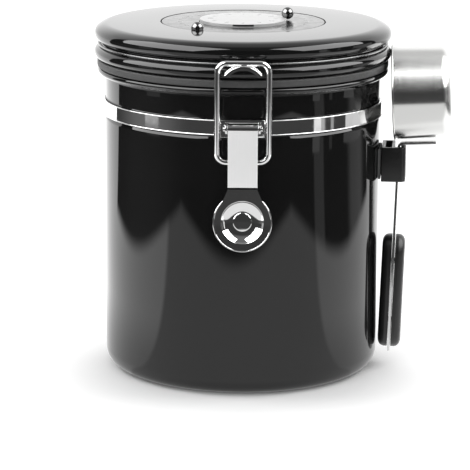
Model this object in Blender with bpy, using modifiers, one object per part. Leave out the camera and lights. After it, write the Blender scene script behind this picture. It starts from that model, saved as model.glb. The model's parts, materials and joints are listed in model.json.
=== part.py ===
"""Coffee canister with a latched lid, a date dial, a gas valve and a hung measuring scoop.

Metres, +Z up. The origin is on the can's axis, on the plane that the base rests on.
The latch is at -Y, the hinge at +Y and the scoop beside +X.
"""
import math

import bmesh
import bpy
from mathutils import Matrix, Vector

# Clearances and shared sheet
FIT_GAP = 0.0003
CUT_OVERRUN = 0.002
LOOSE_GAP = 0.0006
MERGE_DISTANCE = 0.00001
CAP_WELD = 0.000001
REAR_TURN = math.radians(90)

# Facet counts
CAN_STEPS = 44
DIAL_STEPS = 36
CUP_STEPS = 28
SMALL_STEPS = 24
PIN_STEPS = 16
HOLE_STEPS = 8
BALL_RINGS = 8
WIRE_STEPS = 6
ARC_STEPS = 5
HOOK_STEPS = 10

# Can
CAN_RADIUS = 0.0584
CAN_WALL = 0.0008
CAN_FLOOR = 0.0010
BASE_ROUNDING = 0.0078
NECK_TOP_Z = 0.1255
LIP_OVERHANG = 0.0031
LIP_HEIGHT = 0.0037
LIP_EDGE_ROUNDING = 0.0006
LIP_BULGE = 0.0005

# Band round the neck
BAND_BOTTOM_Z = 0.1097
BAND_HEIGHT = 0.0063
BAND_SHEET = 0.0007
BAND_BEAD = 0.0004
BAND_BEAD_HEIGHT = 0.0007

# Lid cover
TOP_BEAD_RADIUS = 0.0040
TOP_BEAD_OVERHANG = 0.0041
SKIRT_BEAD_RADIUS = 0.00275
SKIRT_BEAD_OVERHANG = 0.0045
GROOVE_STEP = 0.0015
GROOVE_HEIGHT = 0.0008
LID_SHEET = 0.0007
LID_CROWN = 0.00075
WELL_RADIUS = 0.0349
WELL_DEPTH = 0.0038
WELL_EDGE_ROUNDING = 0.0004
WELL_VENT_RADIUS = 0.010

# Wire ring in the lid's groove
RING_WIRE_RADIUS = 0.0005

# Seal and liner
GASKET_OVERHANG = 0.0001
GASKET_INSET = 0.0024
GASKET_HEIGHT = 0.00315
GASKET_LIP_DROP = 0.0030
GASKET_LIP_WIDTH = 0.0009
GASKET_EDGE_ROUNDING = 0.0006
LINER_SHEET = 0.0007
LINER_OVERLAP = 0.0005
LINER_STEP_IN = 0.0032
LINER_STEP_SLOPE = 0.0008
LINER_PAN_DROP = 0.0018

# Date dial in the well
DIAL_LINE_WIDTH = 0.0011
DIAL_BASE_THICKNESS = 0.0012
DIAL_BASE_INSET = 0.0004
DIAL_SINK = 0.0001
MONTH_DISC_RADIUS = 0.0183
MONTH_DISC_RISE = 0.0012
MONTH_GAP = 0.0007
DIAL_EDGE_ROUNDING = 0.0004
AXLE_RADIUS = 0.0020
AXLE_COVER = 0.0018
KNOB_RADIUS = 0.0026
DAY_KNOB_INSET = 0.0023
DAY_KNOB_RISE = 0.0007
DAY_KNOB_ANGLE = math.radians(-127)
MONTH_KNOB_REACH = 0.0012
MONTH_KNOB_RISE = 0.0017
MONTH_KNOB_ANGLE = math.radians(15)

# Gas valve under the lid
VALVE_RADIUS = 0.0120
VALVE_WALL = 0.0012
VALVE_FLANGE_WIDTH = 0.0020
VALVE_FLANGE_THICKNESS = 0.0012
VALVE_HEIGHT = 0.0075
VALVE_SEAT_RISE = 0.0030
VALVE_SEAT_THICKNESS = 0.0012
VALVE_PORT_RADIUS = 0.0011
VALVE_PORT_CIRCLE_R = 0.0042
VALVE_PORTS = 6
FLAP_RADIUS = 0.0065
FLAP_THICKNESS = 0.0008
FLAP_STEM_RADIUS = 0.0009
FLAP_STEM_LENGTH = 0.0026
CAP_THICKNESS = 0.0010
CAP_HOLE_RADIUS = 0.0013
CAP_HOLE_CIRCLE_R = 0.0065
CAP_HOLES = 10

# Latch: bracket, pin, lever and wire loop
LATCH_PIN_RADIUS = 0.0011
LATCH_PIN_RISE = 0.00035
STRAP_HALF_WIDTH = 0.0060
STRAP_SHEET = 0.0009
STRAP_DROP = 0.0244
CURL_SWEEP = math.radians(290)
EAR_SHEET = 0.0008
EAR_REACH = 0.0023
BRACKET_HALF_WIDTH = 0.0095
BRACKET_SHEET = 0.0008
BRACKET_MARGIN = 0.0004
PIN_HEAD = 0.0006
PADDLE_RADIUS = 0.0125
NECK_LENGTH = 0.0007
PADDLE_TILT = math.radians(5)
PADDLE_DISH = 0.0016
PADDLE_RIM = 0.0007
PADDLE_SET_BACK = 0.0002
BUTTON_RADIUS = 0.0039
BUTTON_HEIGHT = 0.0016
NECK_FLARE = 0.0030
NECK_BITE = 12
LOOP_WIRE_RADIUS = 0.0012
LOOP_HALF_WIDTH = 0.0104
LOOP_CORNER = 0.0037
LOOP_FOOT_SET = 0.0033
LOOP_FOOT_DROP = 0.0139
LOOP_HEAD_SET = 0.0028
LUG_REACH = 0.0023

# Hook on the front of the lid
HOOK_DROP = 0.0005
HOOK_HALF_WIDTH = 0.0068
HOOK_ARCH_RISE = 0.0033
HOOK_SHEET = 0.0008
HOOK_LIP_HEIGHT = 0.0009
HOOK_LIP_SHEET = 0.0010
HOOK_POCKET_PLAY = 0.0010
HOOK_ROOT_HALF_WIDTH = 0.0035
HOOK_ROOT_OVERLAP = 0.0008
HOOK_ROOT_RISE = 0.0004

# Hinge at the back
HINGE_SET = 0.0034
HINGE_DROP = 0.0022
HINGE_PIN_RADIUS = 0.0010
KNUCKLE_WALL = 0.0008
HINGE_HALF_WIDTH = 0.0085
LID_KNUCKLE_HALF_WIDTH = 0.0038
LEAF_SHEET = 0.0008
LEAF_OUTER_SET = 0.0014
LEAF_BEND_RISE = 0.0075
LEAF_MARGIN = 0.0004

# Scoop
SCOOP_AZIMUTH = math.radians(-5)
CUP_RADIUS = 0.0200
CUP_TAPER = 0.0005
CUP_LENGTH = 0.0246
CUP_WALL = 0.0007
CUP_CORNER = 0.0042
CUP_RIM_ROLL = 0.0004
CUP_STAND_OFF = 0.0009
CUP_CENTRE_Z = 0.1190
CUP_RISE = math.radians(2.7)
STRIP_SHEET = 0.0010
STRIP_HALF_WIDTH = 0.0058
STRIP_STAND_OFF = 0.0084
STRIP_LENGTH = 0.0920
STRIP_FOOT_HALF_WIDTH = 0.0080
TANG_LENGTH = 0.0142
BEND_RADIUS = 0.0016
GRIP_LENGTH = 0.0496
GRIP_END_MARGIN = 0.0022
GRIP_THICKNESS = 0.0040
GRIP_HALF_WIDTH = 0.0088
GRIP_TOP_HALF_WIDTH = 0.0072
GRIP_EDGE_INSET = 0.0030
GRIP_CAN_GAP = 0.0007
GRIP_CROWN_SHARES = [(0, 0), (0.35, 0), (0.62, 0.10), (0.84, 0.36), (0.96, 0.72), (1, 1)]
RIVET_RADIUS = 0.0013
RIVET_SPACING = 0.0260
RIVET_HEAD_SINK = 0.0003

# Clip on the can's side
CLIP_DROP = 0.0012
CLIP_HEIGHT = 0.0147
CLIP_FRONT_WALL = 0.0018
CLIP_HALF_WIDTH = 0.0090
CLIP_WALL = 0.0016
CLIP_RIB = 0.0012
CLIP_SLOT_PLAY = 0.0007
CLIP_SNAP = 0.0005
CLIP_CORNER = 0.0014
PAD_THICKNESS = 0.0006
PAD_MARGIN = 0.0010

# Places that follow from the sizes above: can and seal
LIP_RADIUS = CAN_RADIUS + LIP_OVERHANG
LIP_TOP_Z = NECK_TOP_Z + LIP_HEIGHT
BAND_RADIUS = CAN_RADIUS + FIT_GAP + BAND_SHEET
BAND_TOP_Z = BAND_BOTTOM_Z + BAND_HEIGHT
PAD_BACK_R = BAND_RADIUS + BAND_BEAD + FIT_GAP
GASKET_RADIUS = LIP_RADIUS + GASKET_OVERHANG
GASKET_INNER_R = CAN_RADIUS - GASKET_INSET
GASKET_BOTTOM_Z = LIP_TOP_Z + FIT_GAP
GASKET_TOP_Z = GASKET_BOTTOM_Z + GASKET_HEIGHT
LINER_RIM_R = CAN_RADIUS + LINER_OVERLAP
LINER_STEP_R = CAN_RADIUS - LINER_STEP_IN
LINER_RIM_TOP_Z = GASKET_TOP_Z + FIT_GAP + LINER_SHEET
LINER_PAN_TOP_Z = LINER_RIM_TOP_Z - LINER_PAN_DROP

# Places that follow: lid, wire ring and dial
SKIRT_OUTER_R = CAN_RADIUS + SKIRT_BEAD_OVERHANG
SKIRT_BEAD_CENTRE_R = SKIRT_OUTER_R - SKIRT_BEAD_RADIUS
SKIRT_BEAD_CENTRE_Z = GASKET_TOP_Z + FIT_GAP + SKIRT_BEAD_RADIUS
TOP_BEAD_CENTRE_R = CAN_RADIUS + TOP_BEAD_OVERHANG - TOP_BEAD_RADIUS
TOP_BEAD_CENTRE_Z = SKIRT_BEAD_CENTRE_Z + SKIRT_BEAD_RADIUS + GROOVE_HEIGHT + TOP_BEAD_RADIUS
GROOVE_FLOOR_R = CAN_RADIUS + GROOVE_STEP
LID_TOP_Z = TOP_BEAD_CENTRE_Z + TOP_BEAD_RADIUS + LID_CROWN
WELL_FLOOR_Z = LID_TOP_Z - WELL_DEPTH
DIAL_TOP_Z = LID_TOP_Z - DIAL_SINK
DIAL_RADIUS = WELL_RADIUS - DIAL_LINE_WIDTH
DIAL_BASE_RADIUS = DIAL_RADIUS - DIAL_BASE_INSET
DAY_KNOB_R = DIAL_RADIUS - DAY_KNOB_INSET
MONTH_KNOB_R = MONTH_DISC_RADIUS + MONTH_KNOB_REACH
DIAL_BASE_Z = WELL_FLOOR_Z + FIT_GAP
DIAL_BOTTOM_Z = DIAL_BASE_Z + DIAL_BASE_THICKNESS + FIT_GAP
MONTH_TOP_Z = DIAL_TOP_Z + MONTH_DISC_RISE


def ring_seat():
    """The wire's place in the lid's groove, a gap away from both beads, as (radius, height)."""
    upper = Vector((TOP_BEAD_CENTRE_R, TOP_BEAD_CENTRE_Z))
    lower = Vector((SKIRT_BEAD_CENTRE_R, SKIRT_BEAD_CENTRE_Z))
    reach_up = TOP_BEAD_RADIUS + RING_WIRE_RADIUS + FIT_GAP
    reach_down = SKIRT_BEAD_RADIUS + RING_WIRE_RADIUS + FIT_GAP
    span = (upper - lower).length
    along = (reach_down ** 2 - reach_up ** 2 + span ** 2) / (2 * span)
    out = math.sqrt(reach_down ** 2 - along ** 2)
    axis = (upper - lower) / span
    return lower + axis * along + Vector((axis.y, -axis.x)) * out


RING_CENTRE_R, RING_CENTRE_Z = ring_seat()

# Places that follow: latch, hook and hinge
LATCH_PIN_Z = BAND_BOTTOM_Z + BAND_HEIGHT / 2 + LATCH_PIN_RISE
CURL_RADIUS = LATCH_PIN_RADIUS + FIT_GAP + STRAP_SHEET
LATCH_PIN_Y = -(PAD_BACK_R + BRACKET_SHEET + FIT_GAP + CURL_RADIUS)
STRAP_FRONT_Y = LATCH_PIN_Y - CURL_RADIUS
STRAP_BACK_Y = STRAP_FRONT_Y + STRAP_SHEET
STRAP_END_Z = LATCH_PIN_Z - STRAP_DROP
PADDLE_CENTRE_Z = STRAP_END_Z - NECK_LENGTH - PADDLE_RADIUS
HOOK_CROWN_Z = RING_CENTRE_Z - HOOK_DROP
LOOP_FOOT_Y = STRAP_BACK_Y + LOOP_FOOT_SET
LOOP_FOOT_Z = LATCH_PIN_Z - LOOP_FOOT_DROP
LOOP_HEAD_Y = -(SKIRT_OUTER_R + LOOP_HEAD_SET)
LOOP_HEAD_Z = HOOK_CROWN_Z + FIT_GAP + LOOP_WIRE_RADIUS
HINGE_Y = SKIRT_OUTER_R + HINGE_SET
HINGE_Z = RING_CENTRE_Z - HINGE_DROP

# Places that follow: scoop and clip
CUP_MOUTH_R = SKIRT_OUTER_R + CUP_STAND_OFF
STRIP_TOP_R = CAN_RADIUS + STRIP_STAND_OFF
STRIP_TOP_Z = (CUP_CENTRE_Z - (CUP_RADIUS + CUP_RIM_ROLL) * math.cos(CUP_RISE)
               - FIT_GAP - STRIP_SHEET / 2)
STRIP_FOOT_R = CAN_RADIUS + GRIP_CAN_GAP + GRIP_THICKNESS + FIT_GAP + STRIP_SHEET / 2
STRIP_LEAN = math.asin((STRIP_TOP_R - STRIP_FOOT_R) / STRIP_LENGTH)
CLIP_TOP_Z = STRIP_TOP_Z - CLIP_DROP

COLLECTION = "coffee_canister"
CUTTERS = "cutters"

FINISHES = {
    "black_gloss": ((0.012, 0.012, 0.013), 0.12, 0.0),
    "chrome": ((0.80, 0.80, 0.81), 0.10, 1.0),
    "brushed_steel": ((0.62, 0.62, 0.61), 0.34, 1.0),
    "plain_steel": ((0.55, 0.55, 0.55), 0.28, 1.0),
    "black_plastic": ((0.018, 0.018, 0.018), 0.42, 0.0),
    "silicone": ((0.045, 0.045, 0.046), 0.62, 0.0),
    "dial_grey": ((0.30, 0.30, 0.31), 0.25, 0.4),
    "adhesive": ((0.10, 0.10, 0.10), 0.80, 0.0),
}


def clear_scene():
    for thing in list(bpy.data.objects):
        bpy.data.objects.remove(thing, do_unlink=True)


def collection(name):
    found = bpy.data.collections.get(name) or bpy.data.collections.new(name)
    if name not in bpy.context.scene.collection.children:
        bpy.context.scene.collection.children.link(found)
    return found


def finish_material(node, finish):
    colour, roughness, metallic = FINISHES[finish]
    material = bpy.data.materials.new(node + "_" + finish)
    material.use_nodes = True
    shader = material.node_tree.nodes["Principled BSDF"]
    shader.inputs["Base Color"].default_value = (*colour, 1.0)
    shader.inputs["Roughness"].default_value = roughness
    shader.inputs["Metallic"].default_value = metallic
    return material


def place_in(thing, name):
    for holder in list(thing.users_collection):
        holder.objects.unlink(thing)
    collection(name).objects.link(thing)


def keep(thing, node, finish):
    """Make an object one of the canister's pieces."""
    thing.name = node
    thing.data.name = node
    place_in(thing, COLLECTION)
    thing.data.materials.clear()
    thing.data.materials.append(finish_material(node, finish))
    thing.data.shade_smooth()
    thing.data.set_sharp_from_angle(angle=math.radians(32))
    return thing


def hide_cutter(thing):
    thing.hide_render = True
    thing.display_type = "WIRE"
    place_in(thing, CUTTERS)
    return thing


def arc(centre_a, centre_b, radius, start, end, steps=ARC_STEPS):
    """Points on an arc in a plane, both ends included; angles in degrees."""
    turns = [math.radians(start + (end - start) * i / steps) for i in range(steps + 1)]
    return [(centre_a + radius * math.cos(t), centre_b + radius * math.sin(t)) for t in turns]


def apply_all(thing):
    """Turn an object with modifiers, or a curve, into a plain mesh object in its place."""
    bpy.context.view_layer.update()
    evaluated = thing.evaluated_get(bpy.context.evaluated_depsgraph_get())
    mesh = bpy.data.meshes.new_from_object(evaluated)
    shape = bmesh.new()
    shape.from_mesh(mesh)
    bmesh.ops.remove_doubles(shape, verts=shape.verts, dist=CAP_WELD)
    shape.to_mesh(mesh)
    shape.free()
    plain = bpy.data.objects.new(thing.name, mesh)
    plain.matrix_world = thing.matrix_world.copy()
    bpy.context.scene.collection.objects.link(plain)
    bpy.data.objects.remove(thing, do_unlink=True)
    return plain


def turned(name, profile, steps, closed=False, sheet=None):
    """Revolve (radius, height) points about Z; a sheet value gives the surface a wall."""
    mesh = bpy.data.meshes.new(name)
    edges = [(i, i + 1) for i in range(len(profile) - 1)]
    if closed:
        edges.append((len(profile) - 1, 0))
    mesh.from_pydata([(r, 0, z) for r, z in profile], edges, [])
    thing = bpy.data.objects.new(name, mesh)
    bpy.context.scene.collection.objects.link(thing)
    screw = thing.modifiers.new("turn", "SCREW")
    screw.steps = screw.render_steps = steps
    screw.angle = math.tau
    screw.use_merge_vertices = True
    screw.merge_threshold = MERGE_DISTANCE
    screw.use_smooth_shade = True
    if sheet:
        wall = thing.modifiers.new("sheet", "SOLIDIFY")
        wall.thickness = sheet
        wall.offset = -1
        wall.use_even_offset = True
    return apply_all(thing)


def plate(name, outlines, half_thickness):
    """Fill flat outlines in XY (later ones are holes) and thicken them along Z."""
    curve = bpy.data.curves.new(name, "CURVE")
    curve.dimensions = "2D"
    curve.fill_mode = "BOTH"
    curve.extrude = half_thickness
    for outline in outlines:
        spline = curve.splines.new("POLY")
        spline.points.add(len(outline) - 1)
        for point, (x, y) in zip(spline.points, outline):
            point.co = (x, y, 0, 1)
        spline.use_cyclic_u = True
    thing = bpy.data.objects.new(name, curve)
    bpy.context.scene.collection.objects.link(thing)
    return apply_all(thing)


def box(name, low, high):
    shape = bmesh.new()
    bmesh.ops.create_cube(shape, size=1)
    size = [b - a for a, b in zip(low, high)]
    bmesh.ops.scale(shape, vec=size, verts=shape.verts)
    middle = [(a + b) / 2 for a, b in zip(low, high)]
    bmesh.ops.translate(shape, vec=middle, verts=shape.verts)
    mesh = bpy.data.meshes.new(name)
    shape.to_mesh(mesh)
    shape.free()
    thing = bpy.data.objects.new(name, mesh)
    bpy.context.scene.collection.objects.link(thing)
    return thing


def rod(name, radius, start, end, steps=PIN_STEPS):
    """A round bar between two points."""
    start, end = Vector(start), Vector(end)
    shape = bmesh.new()
    bmesh.ops.create_cone(
        shape, cap_ends=True, segments=steps, radius1=radius, radius2=radius,
        depth=(end - start).length,
    )
    mesh = bpy.data.meshes.new(name)
    shape.to_mesh(mesh)
    shape.free()
    thing = bpy.data.objects.new(name, mesh)
    bpy.context.scene.collection.objects.link(thing)
    turn = Vector((0, 0, 1)).rotation_difference(end - start).to_matrix().to_4x4()
    return reshape(thing, Matrix.Translation((start + end) / 2) @ turn)


def ball(name, radius, centre, rings=BALL_RINGS):
    shape = bmesh.new()
    bmesh.ops.create_uvsphere(shape, u_segments=2 * rings, v_segments=rings, radius=radius)
    bmesh.ops.translate(shape, vec=centre, verts=shape.verts)
    mesh = bpy.data.meshes.new(name)
    shape.to_mesh(mesh)
    shape.free()
    thing = bpy.data.objects.new(name, mesh)
    bpy.context.scene.collection.objects.link(thing)
    return thing


def reshape(thing, matrix):
    """Move an object's shape, its place included, and leave the object unturned."""
    thing.data.transform(matrix @ thing.matrix_world)
    thing.matrix_world = Matrix.Identity(4)
    return thing


def boolean(thing, other, operation):
    """Cut with, or join to, another shape, which is used up."""
    step = thing.modifiers.new(operation.lower(), "BOOLEAN")
    step.operation = operation
    step.solver = "EXACT"
    step.object = other
    hide_cutter(other)
    result = apply_all(thing)
    bpy.data.objects.remove(other, do_unlink=True)
    return result


def cut(thing, *others):
    for other in others:
        thing = boolean(thing, other, "DIFFERENCE")
    return thing


def join(thing, *others):
    for other in others:
        thing = boolean(thing, other, "UNION")
    return thing


def lofted(name, rings):
    """A closed body through rings of points, each ring with as many points as the next."""
    shape = bmesh.new()
    loops = [[shape.verts.new(point) for point in ring] for ring in rings]
    for low, high in zip(loops, loops[1:]):
        for i, start in enumerate(low):
            j = (i + 1) % len(low)
            shape.faces.new((start, low[j], high[j], high[i]))
    shape.faces.new(list(reversed(loops[0])))
    shape.faces.new(loops[-1])
    bmesh.ops.recalc_face_normals(shape, faces=shape.faces)
    mesh = bpy.data.meshes.new(name)
    shape.to_mesh(mesh)
    shape.free()
    thing = bpy.data.objects.new(name, mesh)
    bpy.context.scene.collection.objects.link(thing)
    return thing


def set_origin(thing, point):
    """Put an object's origin on its joint's axis without moving its shape."""
    point = Vector(point)
    thing.data.transform(Matrix.Translation(-point))
    thing.location = point
    return thing


def across(y, z):
    """Take a plate drawn in (y, z) and thickened along its normal to the YZ plane."""
    turn = Matrix(((0, 0, 1, 0), (1, 0, 0, 0), (0, 1, 0, 0), (0, 0, 0, 1)))
    return Matrix.Translation((0, y, z)) @ turn


def scoop_frame():
    """Local X points away from the can, local Y along the clip's slot, local Z up."""
    return Matrix.Rotation(SCOOP_AZIMUTH, 4, "Z")


def make_can():
    lip_foot = (CAN_RADIUS, NECK_TOP_Z)
    lip_edge_z = LIP_TOP_Z - LIP_EDGE_ROUNDING
    flare = []
    flare_steps = 4
    for i in range(1, flare_steps):
        share = i / flare_steps
        swell = LIP_BULGE * math.sin(math.pi * share)
        flare.append((
            LIP_RADIUS + (CAN_RADIUS - LIP_RADIUS) * share + swell,
            lip_edge_z + (NECK_TOP_Z - lip_edge_z) * share - swell,
        ))
    inner = CAN_RADIUS - CAN_WALL
    profile = [
        (inner + LIP_EDGE_ROUNDING, LIP_TOP_Z),
        (LIP_RADIUS - LIP_EDGE_ROUNDING, LIP_TOP_Z),
        (LIP_RADIUS, lip_edge_z),
        *flare,
        lip_foot,
        *arc(CAN_RADIUS - BASE_ROUNDING, BASE_ROUNDING, BASE_ROUNDING, 0, -90),
        (0, 0),
        (0, CAN_FLOOR),
        *arc(CAN_RADIUS - BASE_ROUNDING, BASE_ROUNDING + CAN_FLOOR - CAN_WALL,
             BASE_ROUNDING - CAN_WALL, -90, 0),
        (inner, LIP_TOP_Z - LIP_EDGE_ROUNDING),
    ]
    keep(turned("body_can", profile, CAN_STEPS, closed=True), "body_can", "black_gloss")


def make_band():
    inner = BAND_RADIUS - BAND_SHEET
    bead = BAND_RADIUS + BAND_BEAD
    half = BAND_BEAD_HEIGHT / 2
    profile = [
        (inner, BAND_TOP_Z), (BAND_RADIUS, BAND_TOP_Z), (bead, BAND_TOP_Z - half),
        (BAND_RADIUS, BAND_TOP_Z - BAND_BEAD_HEIGHT),
        (BAND_RADIUS, BAND_BOTTOM_Z + BAND_BEAD_HEIGHT),
        (bead, BAND_BOTTOM_Z + half), (BAND_RADIUS, BAND_BOTTOM_Z), (inner, BAND_BOTTOM_Z),
    ]
    keep(turned("body_band", profile, CAN_STEPS, closed=True), "body_band", "chrome")


def groove_angle(centre_r, radius):
    """The angle, in degrees from +R, at which a bead's circle reaches the groove's floor."""
    return math.degrees(math.acos((GROOVE_FLOOR_R - centre_r) / radius))


def make_lid_cover():
    bead_steps = 6
    skirt_steps = 5
    top_end = groove_angle(TOP_BEAD_CENTRE_R, TOP_BEAD_RADIUS)
    skirt_start = groove_angle(SKIRT_BEAD_CENTRE_R, SKIRT_BEAD_RADIUS)
    profile = [
        (WELL_VENT_RADIUS, WELL_FLOOR_Z),
        (WELL_RADIUS, WELL_FLOOR_Z),
        (WELL_RADIUS, LID_TOP_Z - WELL_EDGE_ROUNDING),
        (WELL_RADIUS + WELL_EDGE_ROUNDING, LID_TOP_Z),
        *arc(TOP_BEAD_CENTRE_R, TOP_BEAD_CENTRE_Z, TOP_BEAD_RADIUS, 90, -top_end, bead_steps),
        *arc(SKIRT_BEAD_CENTRE_R, SKIRT_BEAD_CENTRE_Z, SKIRT_BEAD_RADIUS,
             skirt_start, -90, skirt_steps),
    ]
    shell = turned("lid_cover", profile, CAN_STEPS, sheet=LID_SHEET)
    set_origin(keep(shell, "lid_cover", "black_gloss"), (0, HINGE_Y, HINGE_Z))


def make_ring_wire():
    section = arc(RING_CENTRE_R, RING_CENTRE_Z, RING_WIRE_RADIUS, 90, -270, WIRE_STEPS)[:-1]
    wire = turned("lid_wire", section, CAN_STEPS, closed=True)
    set_origin(keep(wire, "lid_wire", "plain_steel"), (0, HINGE_Y, HINGE_Z))


def make_gasket():
    lip_outer = CAN_RADIUS - CAN_WALL - FIT_GAP
    lip_inner = lip_outer - GASKET_LIP_WIDTH
    edge = GASKET_EDGE_ROUNDING
    profile = [
        (GASKET_INNER_R, GASKET_TOP_Z), (GASKET_RADIUS - edge, GASKET_TOP_Z),
        (GASKET_RADIUS, GASKET_TOP_Z - edge), (GASKET_RADIUS, GASKET_BOTTOM_Z + edge),
        (GASKET_RADIUS - edge, GASKET_BOTTOM_Z), (lip_outer, GASKET_BOTTOM_Z),
        (lip_outer - edge, GASKET_BOTTOM_Z - GASKET_LIP_DROP),
        (lip_inner, GASKET_BOTTOM_Z - GASKET_LIP_DROP), (lip_inner, GASKET_BOTTOM_Z),
        (GASKET_INNER_R, GASKET_BOTTOM_Z),
    ]
    ring = turned("lid_gasket", profile, CAN_STEPS, closed=True)
    set_origin(keep(ring, "lid_gasket", "silicone"), (0, HINGE_Y, HINGE_Z))


def make_liner():
    profile = [
        (VALVE_RADIUS + FIT_GAP, LINER_PAN_TOP_Z),
        (LINER_STEP_R - LINER_STEP_SLOPE, LINER_PAN_TOP_Z),
        (LINER_STEP_R, LINER_RIM_TOP_Z),
        (LINER_RIM_R, LINER_RIM_TOP_Z),
    ]
    pan = turned("lid_liner", profile, CAN_STEPS, sheet=LINER_SHEET)
    set_origin(keep(pan, "lid_liner", "plain_steel"), (0, HINGE_Y, HINGE_Z))


def knob_centre(radius, angle, height):
    return (radius * math.cos(angle), radius * math.sin(angle), height)


def make_dial():
    axle_hole = AXLE_RADIUS + FIT_GAP
    base_top = DIAL_BASE_Z + DIAL_BASE_THICKNESS
    base = turned("dial_base", [
        (axle_hole, base_top), (DIAL_BASE_RADIUS, base_top),
        (DIAL_BASE_RADIUS, DIAL_BASE_Z), (axle_hole, DIAL_BASE_Z),
    ], DIAL_STEPS, closed=True)
    set_origin(keep(base, "dial_base", "black_plastic"), (0, HINGE_Y, HINGE_Z))

    edge = DIAL_EDGE_ROUNDING
    inner = MONTH_DISC_RADIUS + MONTH_GAP
    day = turned("day_dial", [
        (inner, DIAL_TOP_Z - edge), (inner + edge, DIAL_TOP_Z),
        (DIAL_RADIUS - edge, DIAL_TOP_Z), (DIAL_RADIUS, DIAL_TOP_Z - edge),
        (DIAL_RADIUS, DIAL_BOTTOM_Z), (inner, DIAL_BOTTOM_Z),
    ], DIAL_STEPS, closed=True)
    day_knob_at = knob_centre(DAY_KNOB_R, DAY_KNOB_ANGLE, DIAL_TOP_Z + DAY_KNOB_RISE)
    day = cut(day, ball("day_knob_seat", KNOB_RADIUS + FIT_GAP, day_knob_at))
    set_origin(keep(day, "day_dial", "dial_grey"), (0, 0, DIAL_TOP_Z))
    knob = keep(ball("day_knob", KNOB_RADIUS, day_knob_at), "day_knob", "chrome")
    set_origin(knob, (0, 0, DIAL_TOP_Z))

    axle_top = DIAL_BOTTOM_Z + AXLE_COVER
    month = turned("month_disc", [
        (0, MONTH_TOP_Z), (MONTH_DISC_RADIUS - edge, MONTH_TOP_Z),
        (MONTH_DISC_RADIUS, MONTH_TOP_Z - edge), (MONTH_DISC_RADIUS, DIAL_BOTTOM_Z),
        (axle_hole, DIAL_BOTTOM_Z), (axle_hole, axle_top + FIT_GAP), (0, axle_top + FIT_GAP),
    ], DIAL_STEPS)
    month_knob_at = knob_centre(MONTH_KNOB_R, MONTH_KNOB_ANGLE, MONTH_TOP_Z + MONTH_KNOB_RISE)
    month = cut(month, ball("month_knob_seat", KNOB_RADIUS + FIT_GAP, month_knob_at))
    set_origin(keep(month, "month_disc", "dial_grey"), (0, 0, MONTH_TOP_Z))
    knob = keep(ball("month_knob", KNOB_RADIUS, month_knob_at), "month_knob", "chrome")
    set_origin(knob, (0, 0, MONTH_TOP_Z))

    axle = rod("month_axle", AXLE_RADIUS, (0, 0, DIAL_BASE_Z), (0, 0, axle_top), SMALL_STEPS)
    set_origin(keep(axle, "month_axle", "plain_steel"), (0, HINGE_Y, HINGE_Z))


def ring_of_holes(name, count, circle_r, radius, low_z, high_z):
    holes = []
    for i in range(count):
        turn = math.tau * i / count
        x, y = circle_r * math.cos(turn), circle_r * math.sin(turn)
        low, high = (x, y, low_z - CUT_OVERRUN), (x, y, high_z + CUT_OVERRUN)
        holes.append(rod(name, radius, low, high, HOLE_STEPS))
    return holes


def make_valve():
    flange_top = LINER_PAN_TOP_Z - LINER_SHEET - FIT_GAP
    flange_bottom = flange_top - VALVE_FLANGE_THICKNESS
    bore = VALVE_RADIUS - VALVE_WALL
    top = flange_bottom + VALVE_HEIGHT
    seat_top = flange_bottom + VALVE_SEAT_RISE + VALVE_SEAT_THICKNESS
    seat_bottom = flange_bottom + VALVE_SEAT_RISE
    stem_hole = FLAP_STEM_RADIUS + FIT_GAP
    body = turned("valve_body", [
        (bore, top), (VALVE_RADIUS, top), (VALVE_RADIUS, flange_top),
        (VALVE_RADIUS + VALVE_FLANGE_WIDTH, flange_top),
        (VALVE_RADIUS + VALVE_FLANGE_WIDTH, flange_bottom), (bore, flange_bottom),
        (bore, seat_bottom), (stem_hole, seat_bottom), (stem_hole, seat_top), (bore, seat_top),
    ], SMALL_STEPS, closed=True)
    body = cut(body, *ring_of_holes(
        "valve_port", VALVE_PORTS, VALVE_PORT_CIRCLE_R, VALVE_PORT_RADIUS, seat_bottom, seat_top))
    set_origin(keep(body, "valve_body", "black_plastic"), (0, HINGE_Y, HINGE_Z))

    flap_z = seat_top + FIT_GAP
    flap = turned("valve_flap", [
        (0, flap_z + FLAP_THICKNESS), (FLAP_RADIUS, flap_z + FLAP_THICKNESS),
        (FLAP_RADIUS, flap_z), (FLAP_STEM_RADIUS, flap_z),
        (FLAP_STEM_RADIUS, flap_z - FLAP_STEM_LENGTH), (0, flap_z - FLAP_STEM_LENGTH),
    ], SMALL_STEPS)
    set_origin(keep(flap, "valve_flap", "silicone"), (0, 0, flap_z))

    cap_r = bore - FIT_GAP
    cap = turned("valve_cap", [
        (0, flange_bottom + CAP_THICKNESS), (cap_r, flange_bottom + CAP_THICKNESS),
        (cap_r, flange_bottom), (0, flange_bottom),
    ], SMALL_STEPS)
    cap = cut(cap, *ring_of_holes(
        "cap_hole", CAP_HOLES, CAP_HOLE_CIRCLE_R, CAP_HOLE_RADIUS,
        flange_bottom, flange_bottom + CAP_THICKNESS))
    set_origin(keep(cap, "valve_cap", "black_plastic"), (0, HINGE_Y, HINGE_Z))


def curved_pad(name, half_width, low_z, high_z, sheet, side):
    """A plate that follows the band's outside; side is -1 at the front and 1 at the back."""
    outer = side * (PAD_BACK_R + sheet)
    low_y, high_y = sorted((outer, side * (PAD_BACK_R - CUT_OVERRUN)))
    block = box(name, (-half_width, low_y, low_z), (half_width, high_y, high_z))
    core = rod(name + "_core", PAD_BACK_R, (0, 0, low_z - CUT_OVERRUN), (0, 0, high_z + CUT_OVERRUN),
               2 * CAN_STEPS)
    return cut(block, core)


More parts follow.
